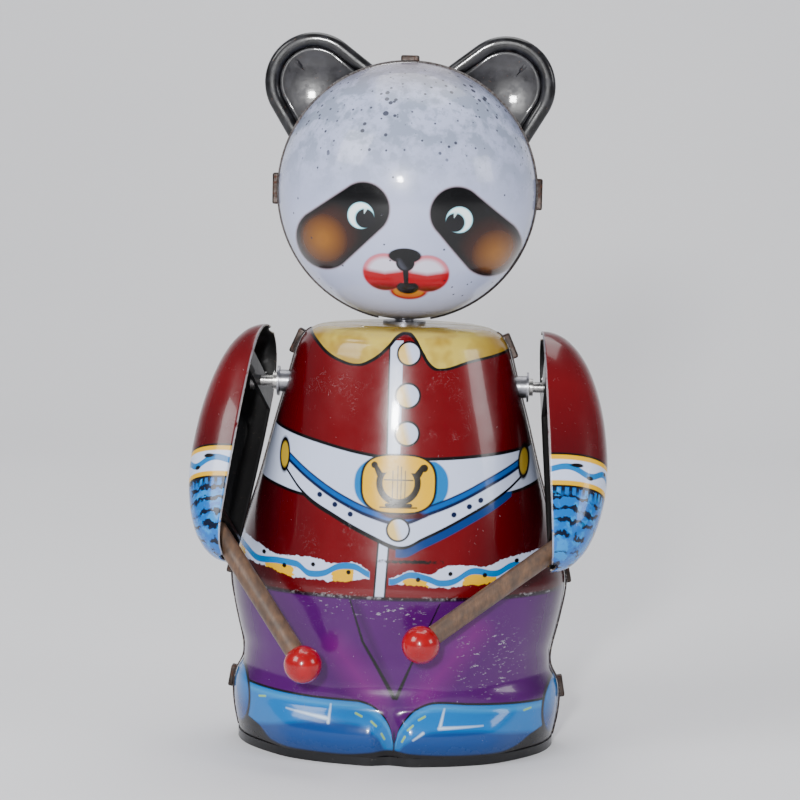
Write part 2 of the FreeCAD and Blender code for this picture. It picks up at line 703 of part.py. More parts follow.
def make_head_shells(outer):
    shell = outer.cut(ellipsoid(-TIN))
    shell = shell.cut(rod(SPINDLE_R + 0.6, (0, 0, 95), (0, 0, 105)))
    export(shell.common(front_half()), "head_front_shell")
    export(shell.common(rear_half()), "head_rear_shell")


def make_head_bead(outer, grown):
    bead = grown.common(seam_slab()).cut(outer)
    bead = bead.cut(box((-6, -5, 90), (6, 5, 110)))
    export(bead, "head_seam_bead")


def make_head_tabs(grown):
    tabs = []
    for angle, length in HEAD_TABS:
        tab = box((-1.2, -1.5, -length / 2), (1.5, 1.5, length / 2))
        tab = tab.makeFillet(0.45, tab.Edges)
        tab.translate(V(HEAD_RX, 0, 0))
        tab.rotate(V(0, 0, 0), V(0, 1, 0), -angle)
        tab.translate(V(0, 0, HEAD_Z))
        tabs.append(tab.cut(grown))
    export(Part.makeCompound(tabs), "head_seam_tabs")


def ear_outline(inset):
    """Flat outline of an ear, p away from the head and q across: a round lobe on two straight sides."""
    radius = EAR_R - inset
    foot = V(EAR_FOOT_AT, 0, EAR_FOOT_HALF - inset)
    to_foot = math.atan2(foot.z, foot.x - EAR_DISTANCE)
    reach = math.hypot(foot.z, foot.x - EAR_DISTANCE)
    turn = to_foot - math.acos(radius / reach)
    lobe = [V(EAR_DISTANCE + radius * math.cos(a), 0, radius * math.sin(a)) for a in (turn, 0.0, -turn)]
    low_foot = V(foot.x, 0, -foot.z)
    edges = [Part.makeLine(foot, lobe[0]), Part.Arc(*lobe).toShape(),
             Part.makeLine(lobe[2], low_foot), Part.makeLine(low_foot, foot)]
    return Part.Face(Part.Wire(edges))


def make_ear(name, side, keep_out):
    """Dished pressing with a broad rounded rim, standing at the head's seam."""
    depth = V(0, EAR_RIM_DEPTH, 0)
    rim = ear_outline(0.0).extrude(depth).cut(ear_outline(EAR_RIM_WIDTH).extrude(depth))
    front_edges = [edge for edge in rim.Edges if edge.BoundBox.YMax < 0.01]
    rim = rim.makeFillet(EAR_ROUND, front_edges)
    cup = V(EAR_DISTANCE, EAR_DISH_Y - EAR_DISH_R, 0)
    bowl = Part.makeSphere(EAR_DISH_R + TIN, cup).cut(Part.makeSphere(EAR_DISH_R, cup))
    dish = bowl.common(ear_outline(EAR_RIM_WIDTH - 0.5).extrude(depth))
    ear = join([rim, dish])
    ear.rotate(V(0, 0, 0), V(0, 1, 0), side * EAR_ANGLE - 90.0)
    ear.translate(V(0, EAR_Y, HEAD_Z))
    export(ear.cut(keep_out), name + "_ear")


def make_neck():
    bush = join([tube(NECK_BUSH_R, SPINDLE_R + NECK_CLEARANCE, (0, 0, 96.0), (0, 0, 98.2)),
                 tube(NECK_BUSH_FLANGE_R, SPINDLE_R + NECK_CLEARANCE, (0, 0, 98.2), (0, 0, 98.8))])
    export(bush, "neck_bush")
    stem = rod(SPINDLE_R, (0, 0, 93.0), (0, 0, 99.0))
    shoulder = rod(SPINDLE_R + 0.6, (0, 0, 98.85), (0, 0, 99.9))
    spindle = join([stem, shoulder, rod(4.0, (0, 0, 99.9), (0, 0, 100.6))])
    export(spindle, "neck_spindle")
    export(tube(3.0, SPINDLE_R, (0, 0, 94.6), (0, 0, 95.4)), "neck_clip")


def make_key():
    x, z = WINDING_SPOT
    low_z, high_z = z - KEY_THICK / 2, z + KEY_THICK / 2
    sleeve = rod(KEY_SLEEVE_R, (x, 29.6, z), (x, 38.6, z))
    wings = [box((-4.5, 36.0, low_z), (4.5, KEY_LOBE_Y + 3.0, high_z))]
    for side in (-1, 1):
        lobe = Part.makeCylinder(KEY_LOBE_R, KEY_THICK, V(side * KEY_LOBE_X, KEY_LOBE_Y, low_z))
        wings.append(lobe)
    key = join([sleeve] + wings)
    for side in (-1, 1):
        key = key.cut(Part.makeCylinder(KEY_HOLE_R, 4, V(side * KEY_LOBE_X, KEY_LOBE_Y, z - 2)))
    key = key.cut(arbor_along_y(WINDING_SPOT, WINDING_R, 29.0, 37.0))
    export(key, "winding_key")


def make_key_eyelet(outer):
    """Flanged lining of the key hole; its flange is pressed down onto the curved back."""
    flange = arbor_along_y(WINDING_SPOT, EYELET_FLANGE_R, 25.6, 28.8).cut(outer)
    eyelet = join([flange, arbor_along_y(WINDING_SPOT, EYELET_R, 25.6, 28.8)])
    export(eyelet.cut(arbor_along_y(WINDING_SPOT, WINDING_R + 0.1, 20.0, 30.0)), "key_eyelet")


def main():
    os.makedirs("parts", exist_ok=True)
    outer = body_solid(0.0)
    inner = body_solid(-TIN)
    make_body_shells(outer, inner)
    make_body_bead()
    make_body_tabs()
    make_base(outer)
    make_base_rivets()
    make_motor_brackets()
    make_motor_plates()
    make_pillars()
    make_pillar_nuts()
    make_mainspring()
    make_great_wheel()
    make_ratchet()
    make_click()
    make_winding_arbor()
    make_second_arbor()
    make_cam_arbor()
    make_drum_cam()
    make_governor()
    for name in ("left", "right"):
        make_lifter(name, ARMS[name][0])
        make_arm(name)
        make_shaft_fittings(name)
    make_guide_pins()
    make_shaft_bridge()
    head = ellipsoid(0.0)
    head_grown = ellipsoid(BEAD_OUT)
    make_head_shells(head)
    make_head_bead(head, head_grown)
    make_head_tabs(head_grown)
    make_ear("left", 1, head_grown)
    make_ear("right", -1, head_grown)
    make_neck()
    make_key()
    make_key_eyelet(outer)


main()
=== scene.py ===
import math

import bmesh
import bpy
import numpy as np
from mathutils import Matrix, Vector


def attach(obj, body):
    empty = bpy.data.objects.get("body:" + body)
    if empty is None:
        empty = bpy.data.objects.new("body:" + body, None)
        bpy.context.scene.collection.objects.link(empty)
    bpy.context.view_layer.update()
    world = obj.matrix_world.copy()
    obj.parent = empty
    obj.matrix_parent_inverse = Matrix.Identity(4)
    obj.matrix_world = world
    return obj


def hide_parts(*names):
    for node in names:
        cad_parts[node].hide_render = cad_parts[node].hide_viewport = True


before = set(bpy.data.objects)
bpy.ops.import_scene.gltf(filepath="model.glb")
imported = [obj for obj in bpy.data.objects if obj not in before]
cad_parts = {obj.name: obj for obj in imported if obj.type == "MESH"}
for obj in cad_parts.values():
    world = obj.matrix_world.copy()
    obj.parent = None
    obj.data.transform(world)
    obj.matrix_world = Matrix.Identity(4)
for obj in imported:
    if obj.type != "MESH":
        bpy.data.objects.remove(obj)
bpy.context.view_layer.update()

MM = 0.001

# ---------------------------------------------------------------- shapes, in millimetres
BODY_POWER = 2.05
# height, half width, half depth
BODY_STATIONS = [
    (1.2, 36.6, 26.9), (4.0, 37.3, 27.3), (8.0, 38.0, 27.6), (12.0, 38.2, 27.5), (15.5, 37.6, 27.1),
    (18.5, 36.1, 26.6), (22.0, 35.9, 26.6), (27.0, 37.0, 27.2), (33.0, 38.3, 28.0), (39.0, 39.0, 28.6),
    (44.0, 38.0, 28.2), (50.0, 36.3, 27.4), (57.0, 34.2, 26.4), (64.0, 32.2, 25.2), (71.0, 30.4, 24.0),
    (78.0, 28.6, 22.8), (84.0, 26.9, 21.6), (89.0, 25.6, 20.5), (92.5, 24.6, 19.6), (95.0, 23.4, 18.7),
    (96.8, 21.4, 17.2), (97.8, 18.0, 14.6), (98.2, 13.5, 11.0)]
HEAD_Z = 128.8
HEAD_R = (29.7, 27.0, 29.6)
EAR_ANGLE = math.radians(42.0)
EAR_DISTANCE = 33.0
EAR_R = 11.2
EAR_Y = 0.5
EAR_FOOT = (22.0, 13.5)
DISH_R = 36.0
DISH_DEPTH = 1.7
SHAFT_Z = 84.0
NECK_HOLE_R = 3.1
SHELL_WALL = 0.35
ARM_WALL = 0.4
EAR_WALL = 0.3
ARM_POWER = 2.2
ARM_SWING = math.radians(33.0)
# height from the shaft, bulge, half width
ARM_STATIONS = [
    (13.5, 1.0, 1.5), (12.6, 3.6, 4.2), (11.0, 6.2, 6.6), (8.0, 8.9, 8.8), (4.0, 11.1, 10.2),
    (-2.0, 13.0, 10.9), (-10.0, 14.3, 11.0), (-18.0, 14.6, 10.6), (-26.0, 14.0, 10.0), (-32.0, 12.6, 9.4),
    (-38.0, 10.2, 8.6), (-42.0, 7.4, 7.2), (-44.4, 4.2, 4.8), (-45.3, 1.2, 1.8)]
# side, rim's distance from the middle, splay and toe in degrees, share of the full bulge
ARMS = {"left": (1, 32.6, 3.5, 1.5, 0.96), "right": (-1, 33.0, 7.0, 9.0, 0.86)}


def smoothstep(low, high, value):
    t = np.clip((value - low) / (high - low), 0, 1)
    return t * t * (3 - 2 * t)


def spline(rows, at):
    """Smooth curve through rows of (key, values...), keys rising."""
    rows = np.array(sorted(rows))
    keys = rows[:, 0]
    out = []
    for column in range(1, rows.shape[1]):
        values = rows[:, column]
        secant = np.diff(values) / np.diff(keys)
        before, after = np.r_[secant[0], secant], np.r_[secant, secant[-1]]
        slope = np.where(before * after > 0, (before + after) / 2, 0)
        slope = np.sign(slope) * np.minimum(np.abs(slope), 2.5 * np.minimum(np.abs(before), np.abs(after)))
        i = np.clip(np.searchsorted(keys, at) - 1, 0, len(keys) - 2)
        h = keys[i + 1] - keys[i]
        t = (at - keys[i]) / h
        a = (1 + 2 * t) * (1 - t) ** 2
        b = t * (1 - t) ** 2
        c = t * t * (3 - 2 * t)
        d = t * t * (t - 1)
        out.append(a * values[i] + b * h * slope[i] + c * values[i + 1] + d * h * slope[i + 1])
    return out


def front_relief(x, z):
    side = np.abs(x)
    along = smoothstep(0.1, 4.6, side) * (1 - smoothstep(22.5, 31.5, side))
    up = np.maximum(0, 1 - ((z - 6.0) / 6.4) ** 2)
    knee = ((side - 16.0) / 11.0) ** 2 + ((z - 25.0) / 9.0) ** 2
    return 2.6 * along * up + 1.6 * np.exp(-1.6 * knee)


def grid_mesh(name, grid, materials, thick=0.0, flip=False):
    """Mesh from rows of points in millimetres; thick gives it a wall inward."""
    grid = np.asarray(grid, float) * MM
    rows, cols = grid.shape[:2]
    faces = []
    for i in range(rows - 1):
        for j in range(cols - 1):
            k = j + 1
            quad = (i * cols + j, i * cols + k, (i + 1) * cols + k, (i + 1) * cols + j)
            faces.append(quad[::-1] if flip else quad)
    mesh = bpy.data.meshes.new(name)
    mesh.from_pydata([tuple(p) for p in grid.reshape(-1, 3)], [], faces)
    work = bmesh.new()
    work.from_mesh(mesh)
    bmesh.ops.remove_doubles(work, verts=work.verts, dist=1e-6)
    work.to_mesh(mesh)
    work.free()
    mesh.shade_smooth()
    for material in materials:
        mesh.materials.append(material)
    obj = bpy.data.objects.new(name, mesh)
    bpy.context.scene.collection.objects.link(obj)
    if thick:
        wall = obj.modifiers.new("wall", "SOLIDIFY")
        wall.thickness = thick * MM
        wall.offset = -1
        wall.use_even_offset = True
        if len(materials) > 1:
            wall.material_offset = 1
            wall.material_offset_rim = len(materials) - 1
    return obj


# ---------------------------------------------------------------- node arithmetic
TREE = None
PRINT_X = (-40.0, 40.0)
PRINT_Z = (0.0, 100.0)


class Num:
    """A number in a shader: arithmetic on it makes nodes."""

    def __init__(self, socket):
        self.socket = socket

    def __add__(self, other):
        return op("ADD", self, other)

    def __sub__(self, other):
        return op("SUBTRACT", self, other)

    def __rsub__(self, other):
        return op("SUBTRACT", other, self)

    def __mul__(self, other):
        return op("MULTIPLY", self, other)

    def __truediv__(self, other):
        return op("DIVIDE", self, other)

    def __neg__(self):
        return op("MULTIPLY", self, -1.0)


def put(socket, value):
    if isinstance(value, Num):
        TREE.links.new(value.socket, socket)
    elif isinstance(value, bpy.types.NodeSocket):
        TREE.links.new(value, socket)
    else:
        socket.default_value = value


def op(kind, *values, clamp=False):
    node = TREE.nodes.new("ShaderNodeMath")
    node.operation = kind
    node.use_clamp = clamp
    for socket, value in zip(node.inputs, values):
        put(socket, value)
    return Num(node.outputs[0])


def low(a, b):
    return op("MINIMUM", a, b)


def high(a, b):
    return op("MAXIMUM", a, b)


def absolute(a):
    return op("ABSOLUTE", a)


def inside(distance, soft=0.12):
    """1 where distance is negative, 0 where positive, over a soft edge."""
    return op("MULTIPLY_ADD", distance, -1.0 / soft, 0.5, clamp=True)


def outside(distance, soft=0.12):
    return op("MULTIPLY_ADD", distance, 1.0 / soft, 0.5, clamp=True)


def hypot(a, b):
    return op("SQRT", a * a + b * b)


def disc(x, z, cx, cz, r):
    return hypot(x - cx, z - cz) - r


def oval(x, z, cx, cz, a, b):
    return (hypot((x - cx) / a, (z - cz) / b) - 1.0) * min(a, b)


def squarish(x, z, cx, cz, a, b, power):
    u = op("POWER", absolute((x - cx) / a), power)
    v = op("POWER", absolute((z - cz) / b), power)
    return (op("POWER", u + v, 1.0 / power) - 1.0) * min(a, b)


def stroke(x, z, x0, z0, x1, z1, w0, w1=None):
    """Distance to a round-ended stroke from (x0, z0) to (x1, z1)."""
    w1 = w0 if w1 is None else w1
    dx, dz = x1 - x0, z1 - z0
    length = dx * dx + dz * dz
    t = op("MULTIPLY_ADD", (x - x0) * (dx / length), 1.0, (z - z0) * (dz / length), clamp=True)
    return hypot(x - x0 - t * dx, z - z0 - t * dz) - (t * (w1 - w0) + w0)


def profile(x, points):
    """Smooth height over x through the points."""
    x_low, x_high = PRINT_X
    z_low, z_high = PRINT_Z
    node = TREE.nodes.new("ShaderNodeFloatCurve")
    curve = node.mapping.curves[0]
    marks = [((px - x_low) / (x_high - x_low), (pz - z_low) / (z_high - z_low)) for px, pz in points]
    while len(curve.points) < len(marks):
        curve.points.new(0.5, 0.5)
    for point, (u, v) in zip(curve.points, sorted(marks)):
        point.location = (u, v)
        point.handle_type = "AUTO_CLAMPED"
    node.mapping.use_clip = False
    node.mapping.update()
    put(node.inputs["Value"], (x - x_low) / (x_high - x_low))
    return Num(node.outputs[0]) * (z_high - z_low) + z_low


def linear(colour):
    """sRGB 0-255 to linear."""
    out = []
    for c in colour:
        c = c / 255.0
        out.append(c / 12.92 if c <= 0.04045 else ((c + 0.055) / 1.055) ** 2.4)
    return (*out, 1.0)


def mix(base, top, mask):
    node = TREE.nodes.new("ShaderNodeMix")
    node.data_type = "RGBA"
    put(node.inputs[0], mask)
    put(node.inputs[6], base if not isinstance(base, tuple) else linear(base))
    put(node.inputs[7], top if not isinstance(top, tuple) else linear(top))
    return node.outputs[2]


def noise(scale, detail=3.0, rough=0.55, distortion=0.0, offset=(0, 0, 0), squeeze=(1, 1, 1)):
    """Noise over the object's own millimetres, centred on 0.5."""
    node = TREE.nodes.new("ShaderNodeTexNoise")
    put(node.inputs["Vector"], place(offset, squeeze))
    node.inputs["Scale"].default_value = scale
    node.inputs["Detail"].default_value = detail
    node.inputs["Roughness"].default_value = rough
    node.inputs["Distortion"].default_value = distortion
    return Num(node.outputs[0])


def cells(scale, offset):
    """Distance to the nearest of scattered points."""
    node = TREE.nodes.new("ShaderNodeTexVoronoi")
    put(node.inputs["Vector"], place(offset))
    node.inputs["Scale"].default_value = scale
    return Num(node.outputs["Distance"])


def place(offset=(0, 0, 0), squeeze=(1, 1, 1)):
    """The object's own coordinates in millimetres."""
    coords = TREE.nodes.new("ShaderNodeTexCoord")
    node = TREE.nodes.new("ShaderNodeMapping")
    TREE.links.new(coords.outputs["Object"], node.inputs["Vector"])
    node.inputs["Location"].default_value = offset
    node.inputs["Scale"].default_value = [1000.0 * s for s in squeeze]
    return node.outputs[0]


def axes():
    node = TREE.nodes.new("ShaderNodeSeparateXYZ")
    TREE.links.new(place(), node.inputs[0])
    return [Num(s) for s in node.outputs]


def start(name):
    global TREE
    material = bpy.data.materials.new(name)
    material.use_nodes = True
    TREE = material.node_tree
    TREE.nodes.clear()
    shader = TREE.nodes.new("ShaderNodeBsdfPrincipled")
    output = TREE.nodes.new("ShaderNodeOutputMaterial")
    TREE.links.new(shader.outputs[0], output.inputs[0])
    return material, shader


def bump(shader, height, depth_mm):
    node = TREE.nodes.new("ShaderNodeBump")
    node.inputs["Strength"].default_value = 1.0
    node.inputs["Distance"].default_value = depth_mm * MM
    put(node.inputs["Height"], height)
    TREE.links.new(node.outputs[0], shader.inputs["Normal"])


def lacquer(shader, colour, rough, metal, coat=0.35):
    put(shader.inputs["Base Color"], colour)
    put(shader.inputs["Roughness"], rough)
    put(shader.inputs["Metallic"], metal)
    shader.inputs["Coat Weight"].default_value = coat
    shader.inputs["Coat Roughness"].default_value = 0.06
    shader.inputs["Coat IOR"].default_value = 1.5
    shader.inputs["Specular IOR Level"].default_value = 0.3


# ---------------------------------------------------------------- colours
CRIMSON = (98, 0, 8)
CRIMSON_DARK = (56, 0, 6)
CREAM = (190, 168, 74)
CREAM_DARK = (142, 106, 18)
WHITE = (190, 200, 226)
BLUE = (0, 106, 170)
NAVY = (4, 18, 54)
YELLOW = (214, 164, 0)
PURPLE = (68, 0, 86)
PURPLE_DARK = (28, 0, 42)
PURPLE_HIGHLIGHT = (122, 8, 112)
SHOE = (0, 102, 172)
SHOE_DARK = (0, 58, 122)
INK = (5, 5, 7)
TIN_COLOUR = (176, 176, 182)


# ---------------------------------------------------------------- printed tin
HEM_Z = 38.5
BACK_BELT_Z = 66.0
BACK_TRIM_Z = 45.0
CUFF_V = -25.6
# edges in the front's print, as (x, z)
COLLAR_EDGE = [
    (-40, 99.5), (-23, 98.2), (-19.3, 95.0), (-16.5, 92.6), (-13.6, 91.2), (-10.0, 90.4), (-6.5, 91.6),
    (-2.8, 94.7), (-0.8, 97.0), (0.8, 97.6), (2.2, 97.5), (3.6, 96.3), (5.2, 93.6), (7.3, 90.6),
    (9.0, 89.8), (15.9, 91.5), (23.1, 92.9), (40, 97.5)]
BELT_TOP = [
    (-40, 77.8), (-28.5, 74.5), (-17.6, 72.1), (-6.2, 70.0), (1.5, 69.3), (9.3, 69.4), (18.2, 69.8),
    (26.8, 70.5), (31.9, 71.3), (40, 73.2)]
BELT_LOW = [(-40, 64.4), (-29.3, 62.3), (-21.1, 60.8), (0.0, 60.4), (26.2, 62.0), (32.0, 63.3), (40, 65.0)]
SASH_TOP = [
    (-40, 80.0), (-25.0, 68.4), (-18.6, 63.9), (-10.9, 59.7), (-4.6, 57.3), (0.8, 56.2), (8.4, 58.7),
    (14.4, 61.1), (20.4, 64.1), (26.9, 67.5), (40, 76.0)]
SASH_LOW = [
    (-40, 80.0), (-25.8, 65.8), (-21.1, 60.8), (-13.3, 56.3), (-4.4, 52.0), (0.0, 50.2), (1.6, 50.0),
    (6.6, 52.1), (16.6, 57.2), (24.6, 61.9), (28.2, 64.9), (40, 76.0)]
WAVE = [
    (-40, 48.0), (-35.5, 46.6), (-31.2, 44.7), (-26.6, 45.1), (-22.2, 44.9), (-18.8, 43.1), (-15.8, 43.5),
    (-12.5, 45.2), (-9.6, 45.5), (-5.4, 43.8), (-0.5, 42.4), (4.0, 44.0), (7.7, 43.2), (10.9, 42.2),
    (13.3, 42.5), (18.2, 44.8), (22.7, 44.0), (27.1, 45.6), (31.0, 44.3), (35.0, 46.6), (40, 47.0)]
TRIM_TOP = [
    (-40, 50.6), (-31.4, 47.9), (-26.7, 46.4), (-22.3, 46.6), (-18.0, 46.7), (-13.8, 45.9), (-9.0, 46.4),
    (-5.4, 44.6), (-0.5, 43.4), (4.0, 44.9), (8.0, 44.1), (10.9, 45.6), (15.0, 46.3), (20.0, 45.6),
    (25.0, 47.2), (29.0, 47.9), (40, 49.5)]
TRIM_LOW = [
    (-40, 46.0), (-33.0, 43.6), (-29.3, 43.3), (-23.0, 41.9), (-12.0, 41.8), (-5.4, 42.8), (-0.5, 41.8),
    (4.0, 41.8), (10.0, 41.2), (17.0, 41.6), (22.0, 42.0), (27.0, 43.0), (40, 44.5)]
SHOE_TOP = [
    (-40, 15.4), (-31.1, 14.9), (-20.1, 14.5), (-7.2, 14.3), (-2.5, 12.2), (0.2, 8.2), (1.0, 5.2),
    (1.9, 8.0), (4.0, 11.2), (7.0, 13.4), (11.0, 14.3), (18.1, 13.8), (32.8, 12.9), (40, 12.5)]
SHOE_SHADE = [
    (-40, 4.5), (-30.3, 6.3), (-22.0, 8.8), (-14.0, 9.9), (-6.9, 9.6), (-2.8, 7.0), (-0.4, 3.5), (1.6, 3.5),
    (3.6, 5.6), (6.8, 7.6), (11.2, 8.5), (20.0, 8.3), (29.9, 6.3), (40, 4.5)]
SHOE_BOTTOM = [
    (-40, 9.0), (-31.0, 6.0), (-27.5, 3.2), (-20.0, 2.5), (-11.9, 2.5), (0.2, 3.6), (8.3, 3.0), (23.4, 2.6),
    (28.5, 3.4), (32.0, 5.5), (40, 9.0)]


def trousers_with_painted_light(colour, x, z):
    """Purple with the darker crease lines, a painted highlight along each leg and painted shade towards the
    sides and between the legs.
    """
    # painted highlight: paler streaks down both legs
    leg_highlight = high(inside(stroke(x, z, -12.5, 27.0, -4.0, 15.5, 1.0, 2.2), 7.0),
               inside(stroke(x, z, 7.0, 16.0, 19.0, 31.0, 1.6, 1.2), 7.0))
    colour = mix(colour, PURPLE_HIGHLIGHT, leg_highlight * 0.55)
    # painted shade: darker towards the sides and down the middle between the legs
    middle = inside(stroke(x, z, -9.6, 40.0, 0.6, 16.0, 0.4, 0.2), 2.6)
    edge = high(inside(34.0 - absolute(x), 9.0), middle)
    colour = mix(colour, PURPLE_DARK, edge * 0.75)
    crease = stroke(x, z, -9.6, 38.0, -6.6, 28.4, 0.16, 0.3)
    crease = low(crease, stroke(x, z, -6.6, 28.4, 0.7, 15.6, 0.3, 0.45))
    crease = low(crease, stroke(x, z, 10.6, 37.5, 4.6, 23.6, 0.14, 0.25))
    crease = low(crease, stroke(x, z, 4.6, 23.6, 1.3, 15.6, 0.25, 0.45))
    return mix(colour, INK, inside(crease, 0.3))


def shoes(colour, x, z):
    top = profile(x, SHOE_TOP)
    below = z - top
    colour = mix(colour, INK, inside(below - 0.55, 0.25))
    blue = mix(SHOE, SHOE_DARK, inside(z - profile(x, SHOE_SHADE), 1.2))
    # painted highlight: a paler band just below the top edge of the shoes
    blue = mix(blue, (70, 180, 225), inside(absolute(below + 1.0) - 0.3, 1.4) * 0.35)
    colour = mix(colour, blue, inside(below, 0.25))
    for cx, cz, slope in ((-7.1, 11.6, -0.4), (-3.6, 9.9, -0.9), (-1.5, 6.9, -2.0), (3.2, 6.7, 2.0),
                          (4.7, 9.3, 0.9), (7.2, 11.3, 0.5), (-30.0, 12.8, 0.2), (31.0, 11.6, 0.2)):
        run = 0.75 / math.hypot(1, slope)
        mark = stroke(x, z, cx - run, cz - run * slope, cx + run, cz + run * slope, 0.2)
        colour = mix(colour, (150, 190, 60), inside(mark, 0.3) * 0.85)
    # white strokes on the shoes: partly printed white marks, partly painted highlight
    glints = stroke(x, z, -24.0, 11.4, -14.2, 10.4, 0.05, 0.35)
    glints = low(glints, stroke(x, z, 11.2, 9.2, 21.0, 9.4, 0.32, 0.05))
    glints = low(glints, stroke(x, z, -13.6, 13.4, -14.0, 9.6, 0.1, 0.3))
    glints = low(glints, stroke(x, z, 12.2, 13.2, 11.4, 9.6, 0.1, 0.3))
    glints = low(glints, stroke(x, z, 5.4, 6.6, 7.6, 8.2, 0.1, 0.25))
    colour = mix(colour, (215, 235, 250), inside(glints, 0.5) * 0.7)
    middle = inside(absolute(x - 1.0) - 0.25, 0.4) * inside(z - 8.0, 1.0)
    colour = mix(colour, NAVY, middle)
    colour = mix(colour, INK, inside(z - profile(x, SHOE_BOTTOM), 0.5))
    for cx, cz, a, b in ((-36.6, 11.4, 3.0, 6.6), (38.0, 10.2, 3.2, 7.0)):
        lobe = oval(x, z, cx, cz, a, b)
        colour = mix(colour, INK, inside(lobe - 0.6, 0.3))
        colour = mix(colour, mix(SHOE, SHOE_DARK, inside(z - cz, 6.0)), inside(lobe, 0.3))
    return colour


def belt_and_sash(colour, x, z):
    top = profile(x, BELT_TOP)
    sash_top = profile(x, SASH_TOP)
    sash_low = profile(x, SASH_LOW)
    bottom = low(profile(x, BELT_LOW), sash_low)
    colour = mix(colour, INK, inside(z - top - 0.75, 0.3) * outside(z - bottom + 0.7, 0.3))
    under = low(26.0 - x, low(x - 0.4, low(sash_low - z, z - sash_low + 2.2)))
    colour = mix(colour, (0, 48, 108), outside(under, 0.3))
    colour = mix(colour, WHITE, inside(z - top, 0.2) * outside(z - bottom, 0.2))
    halo = squarish(x, z, 1.2, 64.0, 10.6, 6.6, 2.4)
    colour = mix(colour, BLUE, inside(halo, 0.25) * inside(z - 69.2, 0.3))
    span = low(x + 25.6, 28.2 - x)
    edge = absolute(z - sash_top + 0.1)
    colour = mix(colour, NAVY, inside(edge - 1.15, 0.3) * outside(span, 0.3))
    colour = mix(colour, (0, 78, 152), inside(absolute(z - sash_top - 0.1) - 0.55, 0.35) * outside(span, 0.3))
    colour = mix(colour, INK, inside(absolute(z - sash_low) - 0.36, 0.25) * outside(span, 0.3))
    for cx, cz in ((-17.3, 60.8), (-13.7, 58.9), (-10.1, 57.0), (13.2, 57.4), (16.6, 59.1), (19.1, 60.4)):
        colour = mix(colour, NAVY, inside(disc(x, z, cx, cz, 0.6), 0.2))
    gap = oval(x, z, 2.0, 57.3, 5.0, 1.0)
    return mix(colour, CRIMSON_DARK, inside(gap, 0.4))


def buckle(colour, x, z):
    """Yellow oval with a plain lyre."""
    rim = squarish(x, z, 0.6, 64.1, 8.1, 6.3, 2.9)
    colour = mix(colour, INK, inside(rim - 0.4, 0.25))
    # painted highlight: a paler, greyer gold in the middle of the buckle
    gold = mix((218, 168, 0), (196, 160, 60), inside(disc(x, z, 0.8, 63.8, 3.4), 4.0))
    colour = mix(colour, gold, inside(rim, 0.2))
    ring = absolute(oval(x, z, 0.6, 64.3, 4.3, 4.2)) - 0.7
    lyre = high(ring, z - 66.6)
    lyre = low(lyre, stroke(x, z, -3.7, 66.2, -4.6, 67.9, 0.7, 0.5))
    lyre = low(lyre, stroke(x, z, 4.9, 66.2, 6.0, 67.9, 0.8, 0.6))
    lyre = low(lyre, disc(x, z, -4.9, 68.2, 0.75))
    lyre = low(lyre, disc(x, z, 6.3, 67.7, 0.85))
    lyre = low(lyre, stroke(x, z, -1.9, 59.4, 3.4, 59.4, 0.45))
    lyre = low(lyre, stroke(x, z, -3.4, 58.9, 4.8, 58.9, 0.16))
    for cx in (-0.7, 0.4, 1.2, 2.1):
        lyre = low(lyre, stroke(x, z, cx, 60.4, cx, 68.4 - abs(cx - 0.7), 0.1))
    lyre = low(lyre, stroke(x, z, -2.6, 65.0, 3.8, 65.0, 0.14))
    return mix(colour, (26, 20, 8), inside(lyre, 0.22))


def rivet_pair(colour, x, z):
    for cx, cz, a in ((-26.1, 68.6, 0.95), (28.6, 68.1, 0.95)):
        mark = oval(x, z, cx, cz, a, 2.8)
        colour = mix(colour, INK, inside(mark - 0.4, 0.25))
        colour = mix(colour, (170, 140, 40), inside(mark, 0.2))
    return colour


def wavy_trim(colour, x, z):
    gap = low(x + 5.3, -0.9 - x)
    ragged = (noise(0.7, 2.0, offset=(3, 1, 7)) - 0.5) * 1.3
    patch = high(z - profile(x, TRIM_TOP) + ragged, profile(x, TRIM_LOW) - z + ragged)
    patch = high(patch, gap)
    wave = profile(x, WAVE)
    yellow = absolute(x + 26.5) - 3.6
    for cx, half in ((-11.5, 2.4), (5.0, 3.0), (19.5, 3.8), (34.5, 3.2), (-38.0, 3.0)):
        yellow = low(yellow, absolute(x - cx) - half)
    fray = (noise(0.9, 2.0, offset=(6, 4, 1)) - 0.5) * 3.0
    ground = mix(WHITE, YELLOW, inside(high(z - wave, yellow + fray), 0.25))
    colour = mix(colour, ground, inside(patch, 0.2))
    ribbon = high(absolute(z - wave) - 0.72, gap)
    colour = mix(colour, BLUE, inside(ribbon, 0.2))
    for cx, cz in ((-30.2, 46.4), (-25.1, 44.2), (-18.3, 45.2), (-10.1, 44.1), (5.6, 43.0),
                   (12.8, 44.3), (20.5, 43.8), (27.6, 46.5), (33.5, 44.8)):
        colour = mix(colour, INK, inside(disc(x, z, cx, cz, 0.5), 0.2))
    return colour


def placket(colour, x, z):
    """White strip down the jacket, inked along the left above the belt and all round below it."""
    upper = high(absolute(x + 0.62 + (z - 71.0) * 0.004) - 1.4, high(70.0 - z, z - 95.8))
    lean = (39.1 - z) * -0.055 - (z - 39.1) * 0.11
    lower = high(absolute(x + 3.0 + lean) - 1.0, high(38.9 - z, z - 53.0))
    for strip, ink in ((upper, high(upper - 0.35, x + 1.55)), (lower, lower - 0.4)):
        colour = mix(colour, INK, inside(ink, 0.25))
        colour = mix(colour, WHITE, inside(strip, 0.2))
    return colour


def buttons(colour, x, z):
    for cx, cz, r in ((2.1, 93.0, 2.35), (2.1, 83.7, 2.5), (2.2, 75.3, 2.45), (0.8, 54.0, 2.3)):
        button = disc(x, z, cx, cz, r)
        colour = mix(colour, INK, inside(button - 0.45, 0.25))
        face = mix(WHITE, (214, 180, 96), inside(x - cx + 0.1 + (z - cz) * 0.3, 1.6))
        colour = mix(colour, face, inside(button, 0.2))
    return colour


